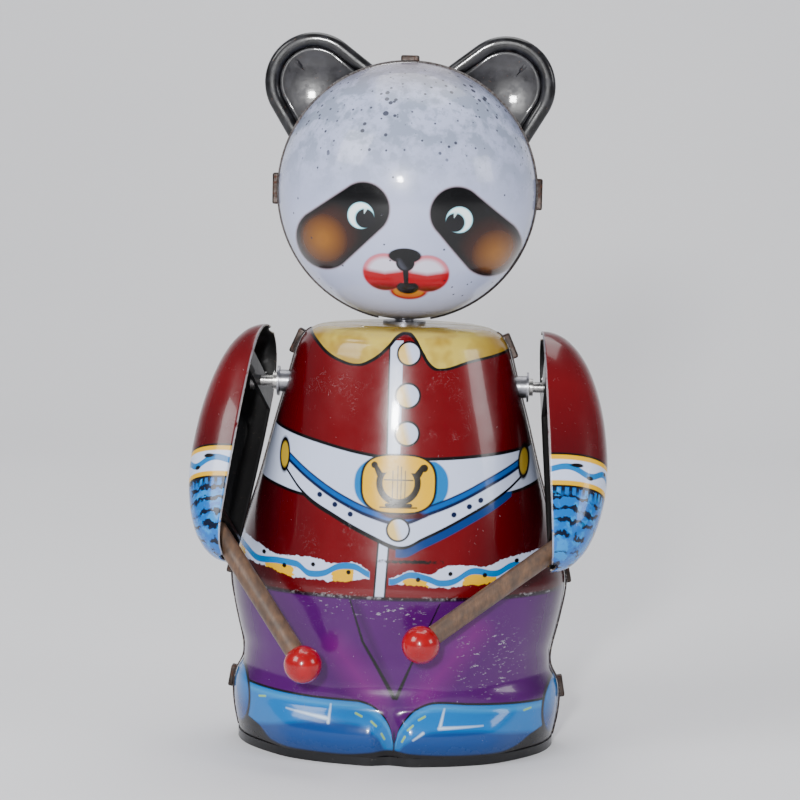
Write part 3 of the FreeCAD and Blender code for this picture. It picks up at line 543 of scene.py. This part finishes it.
def collar(colour, x, z):
    edge = profile(x, COLLAR_EDGE)
    line = low(edge, low(profile(x - 0.5, COLLAR_EDGE), profile(x + 0.5, COLLAR_EDGE)))
    colour = mix(colour, INK, outside(z - line + 0.55, 0.25))
    warm = noise(0.16, 2.0, offset=(9, 2, 4))
    cloth = mix(CREAM, CREAM_DARK, outside(warm - 0.56, 0.2) * 0.7)
    # painted shade: the collar darkens towards the sides and over the top
    cloth = mix(cloth, CREAM_DARK, high(outside(absolute(x) - 18.0, 6.0), outside(z - 98.0, 1.6)) * 0.8)
    return mix(colour, cloth, outside(z - edge, 0.2))


def body_material():
    material, shader = start("body_print")
    x, y, z = axes()
    # painted shade: the crimson darkens towards the sides of the body, front and back
    colour = mix(CRIMSON, CRIMSON_DARK, outside(absolute(x) - 22.0 + (noise(0.05, 2.0) - 0.5) * 8.0, 16.0))
    back = colour
    colour = placket(colour, x, z)
    colour = collar(colour, x, z)
    colour = belt_and_sash(colour, x, z)
    colour = rivet_pair(colour, x, z)
    colour = buckle(colour, x, z)
    colour = buttons(colour, x, z)
    colour = wavy_trim(colour, x, z)
    legs = inside(z - HEM_Z + (noise(0.5, 2.0) - 0.5) * 0.5, 0.25)
    colour = mix(colour, trousers_with_painted_light(PURPLE, x, z), legs)
    colour = mix(colour, INK, inside(absolute(z - HEM_Z) - 0.45, 0.4) * 0.85)
    front = shoes(colour, x, z)
    # back of the figure: plain jacket, belt, trim and heels
    back = mix(back, CREAM, outside(z - 93.5 + x * x * 0.004, 0.2))
    back = mix(back, INK, inside(absolute(z - 93.4 + x * x * 0.004) - 0.3, 0.2))
    belt = absolute(z - BACK_BELT_Z) - 4.4
    back = mix(back, WHITE, inside(belt, 0.2))
    back = mix(back, NAVY, inside(absolute(belt) - 0.5, 0.25))
    ripple = op("SINE", x * 0.55) * 0.9 + BACK_TRIM_Z
    trim = inside(absolute(z - BACK_TRIM_Z) - 2.2, 0.3)
    back = mix(back, WHITE, trim)
    back = mix(back, YELLOW, trim * inside(z - ripple, 0.3) * 0.9)
    back = mix(back, BLUE, inside(absolute(z - ripple) - 0.7, 0.2))
    back = mix(back, PURPLE, inside(z - HEM_Z, 0.25))
    back = mix(back, INK, inside(absolute(z - HEM_Z) - 0.4, 0.3))
    back = mix(back, INK, inside(absolute(x) - 0.35, 0.3) * inside(z - 38.0, 0.3))
    back = mix(back, SHOE_DARK, inside(z - 10.5 - absolute(x) * 0.06, 0.3))
    back = mix(back, INK, inside(z - 3.2, 0.4))
    colour = mix(back, front, inside(y, 0.02))
    # wear: fine chips to bare tin, rubbed hem, dirt at the seam; the slot painted as a scuffed dark slit,
    # which is painted shade; darker towards the bottom
    spread = noise(0.11, 2.0, offset=(5, 8, 1))
    chips = outside(noise(1.7, 4.0, 0.7, offset=(1, 2, 3)) - 0.765 + (0.55 - spread) * 0.35, 0.03)
    rubbed = high(inside(oval(x, z, 1.0, 35.0, 6.5, 2.4), 2.0), inside(oval(x, z, 22.0, 24.0, 7.0, 7.5), 5.0))
    rubbed = high(rubbed, inside(oval(x, z, -12.5, 37.0, 6.0, 2.4), 3.0)) * inside(y, 0.1)
    scuffs = outside(noise(0.55, 3.0, 0.7, squeeze=(1, 1, 2.6)) - 0.63, 0.05) * rubbed * 0.75
    broken = outside(noise(0.6, 3.0, 0.6, offset=(2, 2, 2)) - 0.56, 0.1)
    hem = inside(absolute(z - HEM_Z - 0.2) - 0.3, 0.6) * broken
    bare = high(high(chips, scuffs), hem * 0.55)
    lines = absolute(noise(0.35, 2.0, 0.5, 2.5, offset=(4, 7, 2)) - 0.5) - 0.0022
    scratches = inside(lines, 0.003) * outside(spread - 0.6, 0.05)
    bare = high(bare, scratches * 0.3)
    colour = mix(colour, TIN_COLOUR, bare * 0.85)
    # painted shade: the slot in the shell shown as a dark slit with scuffed edges
    slit = squarish(x, z, 3.4, 46.9, 5.6, 0.34, 4.0) + (noise(1.2, 3.0) - 0.5) * 0.8
    colour = mix(colour, (22, 18, 16), inside(slit, 0.25) * inside(y, 0.1))
    # dirt along the seam
    grime_and_shade = inside(absolute(y) - 1.0, 3.0) * 0.7
    # darker towards the bottom
    grime_and_shade = high(grime_and_shade, inside(z - 4.0, 4.0) * 0.3)
    colour = mix(colour, (22, 14, 14), grime_and_shade)
    rough = noise(0.3, 4.0, 0.6) * 0.16 + 0.16 + bare * 0.12 + grime_and_shade * 0.2
    lacquer(shader, colour, rough, bare * 0.7)
    dent = noise(0.045, 2.0, 0.5, offset=(3, 3, 3)) * 0.55 - bare * 0.03 + noise(0.9, 3.0) * 0.012
    bump(shader, dent, 0.6)
    return material


# each eye: inner and outer end of the patch as (x, z, half width), white and pupil as (x, z, radius),
# glow as (x, z)
EYES = (
    ((-8.6, 125.6, 5.9), (-17.6, 118.3, 6.9), (-9.15, 124.1, 3.0), (-8.15, 123.45, 2.15),
     (-18.0, 118.3)),
    ((12.2, 125.0, 5.9), (19.8, 117.4, 6.9), (12.75, 123.6, 2.95), (11.8, 122.95, 2.1),
     (21.4, 115.6)))


def face(colour, x, z):
    for near, far, white, pupil, glow in EYES:
        patch = stroke(x, z, near[0], near[1], far[0], far[1], near[2], far[2])
        fill = mix((52, 16, 0), (132, 80, 0), inside(disc(x, z, glow[0], glow[1], 3.6), 5.0))
        fill = mix(INK, fill, inside(disc(x, z, glow[0], glow[1], 7.2), 4.5))
        fill = mix(fill, INK, outside(patch + 1.1, 1.6))
        colour = mix(colour, (120, 80, 50), inside(patch - 0.25, 0.4) * 0.6)
        colour = mix(colour, fill, inside(patch, 0.35))
        crescent = high(disc(x, z, *white), -disc(x, z, *pupil))
        colour = mix(colour, (14, 40, 62), inside(disc(x, z, *white), 0.3))
        colour = mix(colour, (6, 6, 12), inside(disc(x, z, *pupil), 0.4))
        colour = mix(colour, (150, 215, 228), inside(crescent, 0.2))
        colour = mix(colour, (235, 250, 252), inside(crescent + 0.25, 0.3))
        tip = stroke(x, z, pupil[0] - 0.2, pupil[1] + 1.1, pupil[0] + 0.1, pupil[1] + 2.2, 0.04, 0.4)
        colour = mix(colour, (210, 235, 240), inside(tip, 0.2) * 0.8)
    # snout: pale above, red below, with the mouth under it
    jaw = oval(x, z, 1.6, 107.2, 4.1, 2.1)
    colour = mix(colour, (140, 14, 18), inside(jaw - 0.1, 0.4))
    colour = mix(colour, mix((176, 110, 24), (170, 60, 40), inside(z - 106.0, 1.2)), inside(jaw + 0.35, 0.3))
    for cx, cz, a, b in ((-3.7, 111.4, 4.9, 4.25), (5.8, 111.2, 4.8, 4.2)):
        lobe = oval(x, z, cx, cz, a, b)
        skin = mix((206, 202, 220), (196, 112, 126), outside(lobe + 0.9, 1.0))
        red = inside(z - cz + 0.1 - absolute(x - cx) * 0.16, 1.1)
        skin = mix(skin, mix((158, 0, 18), (84, 0, 10), inside(z - cz + 2.9, 1.5)), red)
        colour = mix(colour, (176, 60, 76), inside(lobe - 0.15, 0.4) * 0.8)
        colour = mix(colour, skin, inside(lobe, 0.3))
    mouth = high(oval(x, z, 1.4, 107.9, 2.5, 1.5), z - 109.0)
    colour = mix(colour, INK, inside(mouth, 0.3))
    nose = low(oval(x, z, 0.8, 115.3, 3.7, 1.75), oval(x, z, 0.9, 113.7, 2.1, 2.0))
    stem = stroke(x, z, 0.95, 113.0, 1.1, 108.6, 0.7, 0.5)
    colour = mix(colour, INK, inside(low(nose, stem), 0.25))
    sheen = inside(stroke(x, z, -0.6, 113.9, 0.9, 111.6, 0.1, 0.2), 2.0) * inside(nose + 0.4, 0.5)
    return mix(colour, (88, 90, 104), sheen * 0.8)


def head_material():
    material, shader = start("face_print")
    x, y, z = axes()
    colour = mix((184, 191, 220), (160, 168, 200), noise(0.07, 3.0))
    crown = outside(z - 134.0, 16.0)
    blotch = outside(noise(0.19, 4.0, 0.62, offset=(2, 0, 5)) - 0.5, 0.12) * crown
    fine = outside(noise(0.55, 3.0, 0.7, offset=(7, 3, 1)) - 0.57, 0.1) * outside(z - 137.0, 20.0)
    colour = mix(colour, (132, 142, 164), high(blotch * 0.9, fine * 0.6))
    colour = mix(colour, (104, 84, 80), outside(z - 154.0, 7.0) * 0.6)
    printed = face(colour, x, z)
    colour = mix(colour, printed, inside(y, 0.02))
    cluster = noise(0.12, 2.0, offset=(1, 6, 2))
    specks = inside(cells(0.5, (3, 1, 0)) - 0.13 + (0.5 - cluster) * 0.8, 0.03) * outside(z - 136.0, 6.0)
    stray = inside(cells(0.3, (8, 2, 5)) - 0.075, 0.02)
    marks = high(specks, stray)
    colour = mix(colour, (30, 30, 40), marks * 0.85)
    # dirt along the seam
    grime_and_shade = inside(absolute(y) - 0.8, 3.4) * 0.75
    # painted shade under the chin, over the collar
    grime_and_shade = high(grime_and_shade, inside(z - 101.0, 2.5) * 0.6)
    colour = mix(colour, (52, 40, 38), grime_and_shade)
    rough = noise(0.25, 4.0, 0.6) * 0.14 + 0.17 + blotch * 0.14 + grime_and_shade * 0.2
    lacquer(shader, colour, rough, 0.0)
    bump(shader, noise(0.05, 2.0, offset=(1, 1, 9)) * 0.4 - marks * 0.05 + noise(0.8, 3.0) * 0.012, 0.5)
    return material


def ear_material():
    material, shader = start("ear_black")
    x, y, z = axes()
    dust = outside(noise(0.3, 4.0, 0.65, offset=(2, 4, 4)) - 0.54, 0.16)
    # painted reflection: the ear a lighter black from y 1.1 back, over the hollow of the dish
    inner = outside(y - 1.1, 0.5)
    colour = mix((7, 7, 9), (24, 23, 28), inner)
    colour = mix(colour, (60, 60, 68), dust * 0.22)
    chips = outside(noise(1.4, 3.0, 0.7) - 0.70, 0.03)
    colour = mix(colour, (112, 78, 60), chips * 0.6)
    lacquer(shader, colour, noise(0.4, 4.0) * 0.2 + 0.2 + dust * 0.12, 0.0)
    bump(shader, noise(0.12, 3.0) * 0.3 + chips * -0.05, 0.4)
    return material


def arm_material():
    """Outside of an arm, in its own axes: h is the bulge, w runs across the arm and v up it."""
    material, shader = start("arm_print")
    h, w, v = axes()
    h = absolute(h)
    ends = absolute(v + 4.0) - 8.0 + (noise(0.08, 2.0) - 0.5) * 8.0
    colour = mix(CRIMSON, CRIMSON_DARK, outside(ends, 22.0) * 0.7)
    fur = op("SINE", v * 2.3 + op("SINE", w * 0.8) * 1.2 + (noise(0.5, 3.0) - 0.5) * 9.0)
    hand = mix((0, 96, 176), (16, 128, 200), outside(noise(0.4, 3.0) - 0.55, 0.1))
    tufts = outside(noise(0.3, 2.0, offset=(4, 4, 4)) - 0.44, 0.08)
    hand = mix(hand, (4, 16, 40), outside(fur - 0.45, 0.3) * tufts)
    fringe = outside(op("SINE", w * 3.4 + h * 3.0) - 0.1, 0.6)
    hand = mix(hand, (6, 20, 44), outside(v + 31.2, 1.6) * fringe)
    colour = mix(colour, hand, inside(v + 29.0 + op("SINE", w * 0.35) * 0.5, 0.3))
    cuff = high(v + 22.0, -29.2 - v)
    colour = mix(colour, INK, inside(cuff - 0.5, 0.3))
    band = mix(WHITE, YELLOW, outside(absolute(v - CUFF_V) - 2.5, 0.25))
    colour = mix(colour, band, inside(cuff, 0.2))
    ripple = op("SINE", w * 0.62 + h * 0.35) * 0.85
    colour = mix(colour, BLUE, inside(absolute(v - CUFF_V - ripple) - 0.75, 0.2))
    for cw, cv in ((-9.2, -24.3), (-7.6, -26.9), (-4.0, -24.4), (-0.5, -26.8), (3.2, -24.4),
                   (6.5, -26.9)):
        colour = mix(colour, INK, inside(disc(w, v, cw, cv, 0.5), 0.2))
    chips = outside(noise(1.5, 4.0, 0.7, offset=(3, 5, 2)) - 0.715, 0.03)
    rub = inside(h - 0.3, 0.3) * outside(noise(0.4, 2.0, 0.6) - 0.36, 0.1)
    bare = high(chips, rub)
    colour = mix(colour, TIN_COLOUR, bare * 0.85)
    lacquer(shader, colour, noise(0.3, 4.0) * 0.16 + 0.17 + bare * 0.12, bare * 0.7)
    bump(shader, noise(0.06, 2.0) * 0.5 - bare * 0.04 + noise(0.9, 3.0) * 0.012, 0.5)
    return material


def painted(name, colour, worn, rough, edge):
    """Gloss paint over tin, with small chips."""
    material, shader = start(name)
    patch = noise(0.18, 3.0)
    mixed = mix(colour, tuple(int(c * 0.55) for c in colour), patch)
    chips = outside(noise(1.32, 4.0, 0.7, offset=(1, 3, 5)) - edge, 0.04)
    mixed = mix(mixed, worn, chips)
    lacquer(shader, mixed, patch * 0.18 + rough, chips * 0.5, coat=0.4)
    bump(shader, noise(0.6, 3.0) * 0.2 - chips * 0.08, 0.3)
    return material


def metal(name, bright, dark, rough, grain=(1, 1, 1), rust=0.0):
    """Bare metal: rolled or turned grain, stains and, where asked, rust."""
    material, shader = start(name)
    stain = noise(0.16, 4.0, 0.6, offset=(4, 1, 6))
    lines = noise(1.6, 3.0, 0.6, squeeze=grain)
    colour = mix(bright, dark, outside(stain - 0.5, 0.35))
    colour = mix(colour, dark, outside(lines - 0.58, 0.2) * 0.45)
    shine = 1.0
    if rust:
        spots = outside(noise(0.8, 4.0, 0.68, offset=(2, 9, 2)) - (0.62 - rust * 0.2), 0.08)
        colour = mix(colour, mix((92, 52, 30), (52, 34, 28), noise(1.5, 2.0)), spots)
        shine = 1.0 - spots * 0.75
        rough = spots * 0.4 + rough
    put(shader.inputs["Base Color"], colour)
    put(shader.inputs["Metallic"], shine)
    put(shader.inputs["Roughness"], lines * 0.22 + rough)
    bump(shader, lines * 0.25 + stain * 0.2, 0.12)
    return material


def wood_material():
    material, shader = start("stick_wood")
    grain = noise(1.1, 5.0, 0.65, 0.4, squeeze=(1, 0.35, 0.35))
    streak = noise(0.35, 3.0, 0.6, offset=(2, 3, 1))
    colour = mix((104, 76, 54), (74, 52, 38), outside(grain - 0.5, 0.3))
    colour = mix(colour, (52, 44, 38), outside(streak - 0.52, 0.3) * 0.6)
    put(shader.inputs["Base Color"], colour)
    put(shader.inputs["Roughness"], grain * 0.2 + 0.42)
    shader.inputs["Coat Weight"].default_value = 0.25
    shader.inputs["Coat Roughness"].default_value = 0.3
    bump(shader, grain, 0.12)
    return material


def ball_material():
    material, shader = start("ball_red")
    patch = noise(0.25, 3.0)
    colour = mix((176, 2, 14), (112, 0, 10), patch)
    marks = outside(noise(1.2, 4.0, 0.7) - 0.68, 0.05)
    colour = mix(colour, (92, 12, 14), marks)
    lacquer(shader, colour, patch * 0.15 + 0.18 + marks * 0.2, 0.0, coat=0.5)
    bump(shader, noise(0.5, 3.0) * 0.2 - marks * 0.1, 0.3)
    return material


# ---------------------------------------------------------------- pressings
def body_rows(side):
    bottom, top = BODY_STATIONS[0][0], BODY_STATIONS[-1][0]
    heights = [np.linspace(bottom, 92, 150), np.linspace(92.1, 97.4, 34), np.linspace(97.43, top, 40)]
    heights = np.concatenate(heights)
    half_x, half_y = spline(BODY_STATIONS, heights)
    lid = np.linspace(0, 1, 14)[1:]
    heights = np.r_[heights, top + 0.1 * lid]
    half_x = np.r_[half_x, half_x[-1] + lid * (NECK_HOLE_R - half_x[-1])]
    half_y = np.r_[half_y, half_y[-1] + lid * (NECK_HOLE_R - half_y[-1])]
    turn = np.linspace(0, math.pi, 150)
    rows = []
    for z, a, b in zip(heights, half_x, half_y):
        c, s = np.cos(turn), np.sin(turn)
        x = a * np.sign(c) * np.abs(c) ** (2 / BODY_POWER)
        y = b * np.abs(s) ** (2 / BODY_POWER)
        if side < 0:
            y = y + smoothstep(0, 9, y) * front_relief(x, z)
        rows.append(np.stack([x, side * y, np.full_like(x, z)], -1))
    return rows


def head_rows(side):
    rows = []
    for lat in np.linspace(-math.pi / 2 + 0.075, math.pi / 2, 110):
        turn = np.linspace(0, math.pi, 130)
        x = HEAD_R[0] * math.cos(lat) * np.cos(turn)
        y = side * HEAD_R[1] * math.cos(lat) * np.sin(turn)
        rows.append(np.stack([x, y, np.full_like(x, HEAD_Z + HEAD_R[2] * math.sin(lat))], -1))
    return rows


def arm_rows(side, share):
    keys = [row[0] for row in ARM_STATIONS]
    heights = [np.linspace(min(keys), -40, 26), np.linspace(-39.4, 9, 70), np.linspace(9.3, max(keys), 26)]
    heights = np.concatenate(heights)
    bulge, half = spline(ARM_STATIONS, heights)
    turn = np.linspace(0, math.pi, 72)
    rows = []
    for at, h, w in zip(heights, bulge, half):
        c, s = np.cos(turn), np.abs(np.sin(turn))
        rows.append(np.stack([side * share * h * s ** (2 / ARM_POWER),
                              w * np.sign(c) * np.abs(c) ** (2 / ARM_POWER), np.full_like(c, at)], -1))
    return rows


def ear_outline(inset):
    """Round lobe on two straight sides; p points away from the head, q across."""
    radius = max(EAR_R - inset, 0.02)
    foot_p, foot_q = EAR_FOOT[0], EAR_FOOT[1] - inset
    to_foot = math.atan2(foot_q, foot_p - EAR_DISTANCE)
    turn = to_foot - math.acos(min(1, radius / math.hypot(foot_q, foot_p - EAR_DISTANCE)))
    lobe = [(EAR_DISTANCE + radius * math.cos(a), radius * math.sin(a)) for a in np.linspace(turn, -turn, 64)]
    shares = np.linspace(0, 1, 14)[:-1]
    first = [(foot_p + (lobe[0][0] - foot_p) * t, foot_q + (lobe[0][1] - foot_q) * t) for t in shares]
    return first + lobe + [(p, -q) for p, q in reversed(first)]


def ear_rows():
    """Rolled rim as steps of (inset, y), then the hollow dish."""
    steps = [(0.0, 2.3), (0.0, 1.5), (0.0, 1.0), (0.08, 0.62), (0.29, 0.29), (0.62, 0.08), (1.0, 0.0),
             (1.5, 0.0), (1.9, 0.03), (2.25, 0.14), (2.5, 0.34), (2.7, 0.6), (2.85, 0.9), (3.05, 1.1)]
    rows = [[(p, q, EAR_Y + y) for p, q in ear_outline(inset)] for inset, y in steps]
    inner = [ear_outline(inset) for inset in (3.4, 4.0, 5.0, 6.5)]
    inner += [[(p, q * share) for p, q in inner[-1]] for share in (0.8, 0.6, 0.4, 0.2, 0.0)]
    for ring in inner:
        drop = [math.sqrt(DISH_R ** 2 - (p - EAR_DISTANCE) ** 2 - q * q) - DISH_R for p, q in ring]
        rows.append([(p, q, EAR_Y + max(0.1, DISH_DEPTH + y)) for (p, q), y in zip(ring, drop)])
    return np.array(rows)


def settle(obj):
    """Apply modifiers so that the wall is part of the mesh."""
    bpy.context.view_layer.update()
    deps = bpy.context.evaluated_depsgraph_get()
    mesh = bpy.data.meshes.new_from_object(obj.evaluated_get(deps))
    obj.modifiers.clear()
    obj.data = mesh


def make_pressings(materials):
    for side, name in ((-1, "front"), (1, "rear")):
        shell = grid_mesh("body_" + name, body_rows(side), [materials["body"]], SHELL_WALL, side < 0)
        settle(shell)
        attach(shell, "frame")
        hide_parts("body_" + name + "_shell")
        skull = grid_mesh("head_" + name, head_rows(side), [materials["head"]], SHELL_WALL, side < 0)
        settle(skull)
        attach(skull, "head")
        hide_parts("head_" + name + "_shell")
    for name, (side, rim_x, splay, toe, share) in ARMS.items():
        finishes = [materials["arm"], materials["inside"], materials["rim"]]
        arm = grid_mesh(name + "_arm", arm_rows(side, share), finishes, ARM_WALL, side > 0)
        settle(arm)
        swing = Matrix.Rotation(-ARM_SWING, 4, "X")
        toe_in = Matrix.Rotation(math.radians(side * toe), 4, "Z")
        lean = Matrix.Rotation(math.radians(-side * splay), 4, "Y")
        pivot = Matrix.Translation((side * rim_x * MM, 0, SHAFT_Z * MM))
        arm.matrix_world = pivot @ (swing @ toe_in @ lean)
        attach(arm, name + "_arm")
        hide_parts(name + "_arm_shell")
    ear = ear_rows()
    for name, side in (("left", 1), ("right", -1)):
        along = np.array([side * math.sin(EAR_ANGLE), 0, math.cos(EAR_ANGLE)])
        across = np.array([side * math.cos(EAR_ANGLE), 0, -math.sin(EAR_ANGLE)])
        base = np.array([0, 0, HEAD_Z])
        backward = np.array([0, 1, 0])
        points = base + ear[..., 0:1] * along + ear[..., 1:2] * across + ear[..., 2:3] * backward
        lobe = grid_mesh(name + "_ear_lobe", points, [materials["ear"]], EAR_WALL, side > 0)
        settle(lobe)
        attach(lobe, "head")
        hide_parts(name + "_ear")


def dress_cad(materials):
    """Give every CAD piece that stays its own finish."""
    chosen = {
        "body_seam_bead": "seam", "body_seam_tabs": "rusty", "base_plate": "black", "base_rivets": "steel",
        "motor_brackets": "steel", "motor_front_plate": "rolled", "motor_rear_plate": "rolled",
        "motor_pillars": "turned", "pillar_nuts": "steel", "spring_post": "turned", "mainspring": "blued",
        "shaft_bridge": "steel", "lifter_guide_pins": "turned", "left_shaft_bush": "turned",
        "right_shaft_bush": "turned", "neck_bush": "turned", "key_eyelet": "brass", "winding_arbor": "turned",
        "winding_key": "nickel", "ratchet_wheel": "brass", "great_wheel": "brass", "click": "steel",
        "second_arbor": "turned", "second_wheel": "brass", "cam_arbor": "turned", "third_wheel": "brass",
        "drum_cam": "steel", "governor_arbor": "turned", "governor_fly": "brass", "left_lifter": "rolled",
        "right_lifter": "rolled", "head_seam_bead": "head_seam", "head_seam_tabs": "rusty",
        "neck_spindle": "turned", "neck_clip": "steel"}
    for side in ("left", "right"):
        chosen[side + "_arm_strap"] = "inside"
        chosen[side + "_stick_grip"] = "inside"
        chosen[side + "_arm_shaft"] = "bright"
        chosen[side + "_arm_lever"] = "steel"
        chosen[side + "_shaft_collar"] = "bright"
        chosen[side + "_drumstick"] = "wood"
        chosen[side + "_stick_ball"] = "ball"
    for node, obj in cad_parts.items():
        if node in chosen:
            obj.data.materials.clear()
            obj.data.materials.append(materials[chosen[node]])


def make_materials():
    return {
        "body": body_material(), "head": head_material(), "ear": ear_material(), "arm": arm_material(),
        "inside": painted("arm_inside", (12, 11, 12), (60, 50, 44), rough=0.42, edge=0.66),
        "rim": metal("bare_rim", (190, 186, 178), (92, 82, 72), 0.24, rust=0.25),
        "seam": painted("seam_paint", (34, 10, 14), (120, 112, 104), rough=0.3, edge=0.58),
        "head_seam": painted("head_seam_paint", (70, 62, 62), (46, 34, 30), rough=0.34, edge=0.55),
        "rusty": metal("rusty_tab", (84, 76, 72), (40, 34, 32), 0.36, rust=0.3),
        "black": painted("black_enamel", (10, 10, 12), (96, 92, 88), rough=0.28, edge=0.70),
        "steel": metal("pressed_steel", (150, 150, 154), (96, 96, 102), 0.30, rust=0.15),
        "rolled": metal("rolled_steel", (160, 160, 164), (110, 110, 116), 0.26, grain=(0.2, 1, 2.2)),
        "turned": metal("turned_steel", (172, 172, 176), (112, 112, 118), 0.22, grain=(1, 3, 1)),
        "bright": metal("bright_shaft", (206, 204, 200), (120, 118, 118), 0.18, grain=(3, 1, 1)),
        "blued": metal("blued_spring", (70, 76, 104), (40, 40, 52), 0.26),
        "brass": metal("brass", (196, 158, 84), (128, 96, 46), 0.26),
        "nickel": metal("worn_nickel", (188, 182, 170), (112, 100, 84), 0.2, rust=0.12),
        "wood": wood_material(), "ball": ball_material()}


# ---------------------------------------------------------------- setting
def make_stage():
    material, shader = start("pale_floor")
    tone = noise(0.004, 2.0)
    put(shader.inputs["Base Color"], mix((226, 226, 228), (216, 216, 219), tone))
    shader.inputs["Roughness"].default_value = 0.85
    turn = np.linspace(0, math.pi / 2, 16)
    run = [(y * 1000.0, 0.0) for y in (-3.0, -1.0, 0.0, 0.5)]
    run += [(500.0 + 350.0 * math.sin(a), 350.0 * (1 - math.cos(a))) for a in turn[1:]] + [(850.0, 2000.0)]
    rows = [[(x, y, z) for x in (-3000.0, -1000.0, 0.0, 1000.0, 3000.0)] for y, z in run]
    floor = grid_mesh("floor", rows, [material])
    world = bpy.data.worlds.new("studio")
    world.use_nodes = True
    world.node_tree.nodes["Background"].inputs[0].default_value = (0.92, 0.94, 1.0, 1)
    world.node_tree.nodes["Background"].inputs[1].default_value = 0.25
    bpy.context.scene.world = world


def area_light(name, where, aim, size, power):
    data = bpy.data.lights.new(name, "AREA")
    data.size = size
    data.energy = power
    obj = bpy.data.objects.new(name, data)
    obj.location = where
    obj.rotation_euler = (Vector(aim) - Vector(where)).to_track_quat("-Z", "Y").to_euler()
    bpy.context.scene.collection.objects.link(obj)


def make_lights():
    area_light("flash", (-0.06, -0.80, 0.28), (0, 0, 0.08), 0.06, 6.5)
    area_light("key", (-0.75, -0.60, 0.75), (0, 0, 0.08), 0.5, 8.0)
    area_light("fill", (1.0, -0.35, 0.45), (0, 0, 0.07), 0.35, 3.0)
    area_light("top", (0.05, 0.25, 1.1), (0, 0, 0.06), 0.8, 9.0)


CAMERA_AT = Vector((0.026, -0.600, 0.150))
CAMERA_AIM = Vector((-0.0006, 0.0, 0.0802))
CAMERA_ROLL = math.radians(1.3)


def make_camera():
    data = bpy.data.cameras.new("view")
    data.sensor_width = 36.0
    data.lens = 116.6
    camera = bpy.data.objects.new("view", data)
    look = (CAMERA_AIM - CAMERA_AT).to_track_quat("-Z", "Y").to_matrix().to_4x4()
    camera.matrix_world = Matrix.Translation(CAMERA_AT) @ look @ Matrix.Rotation(CAMERA_ROLL, 4, "Z")
    bpy.context.scene.collection.objects.link(camera)
    bpy.context.scene.camera = camera


kit = make_materials()
make_pressings(kit)
dress_cad(kit)
make_stage()
make_lights()
make_camera()
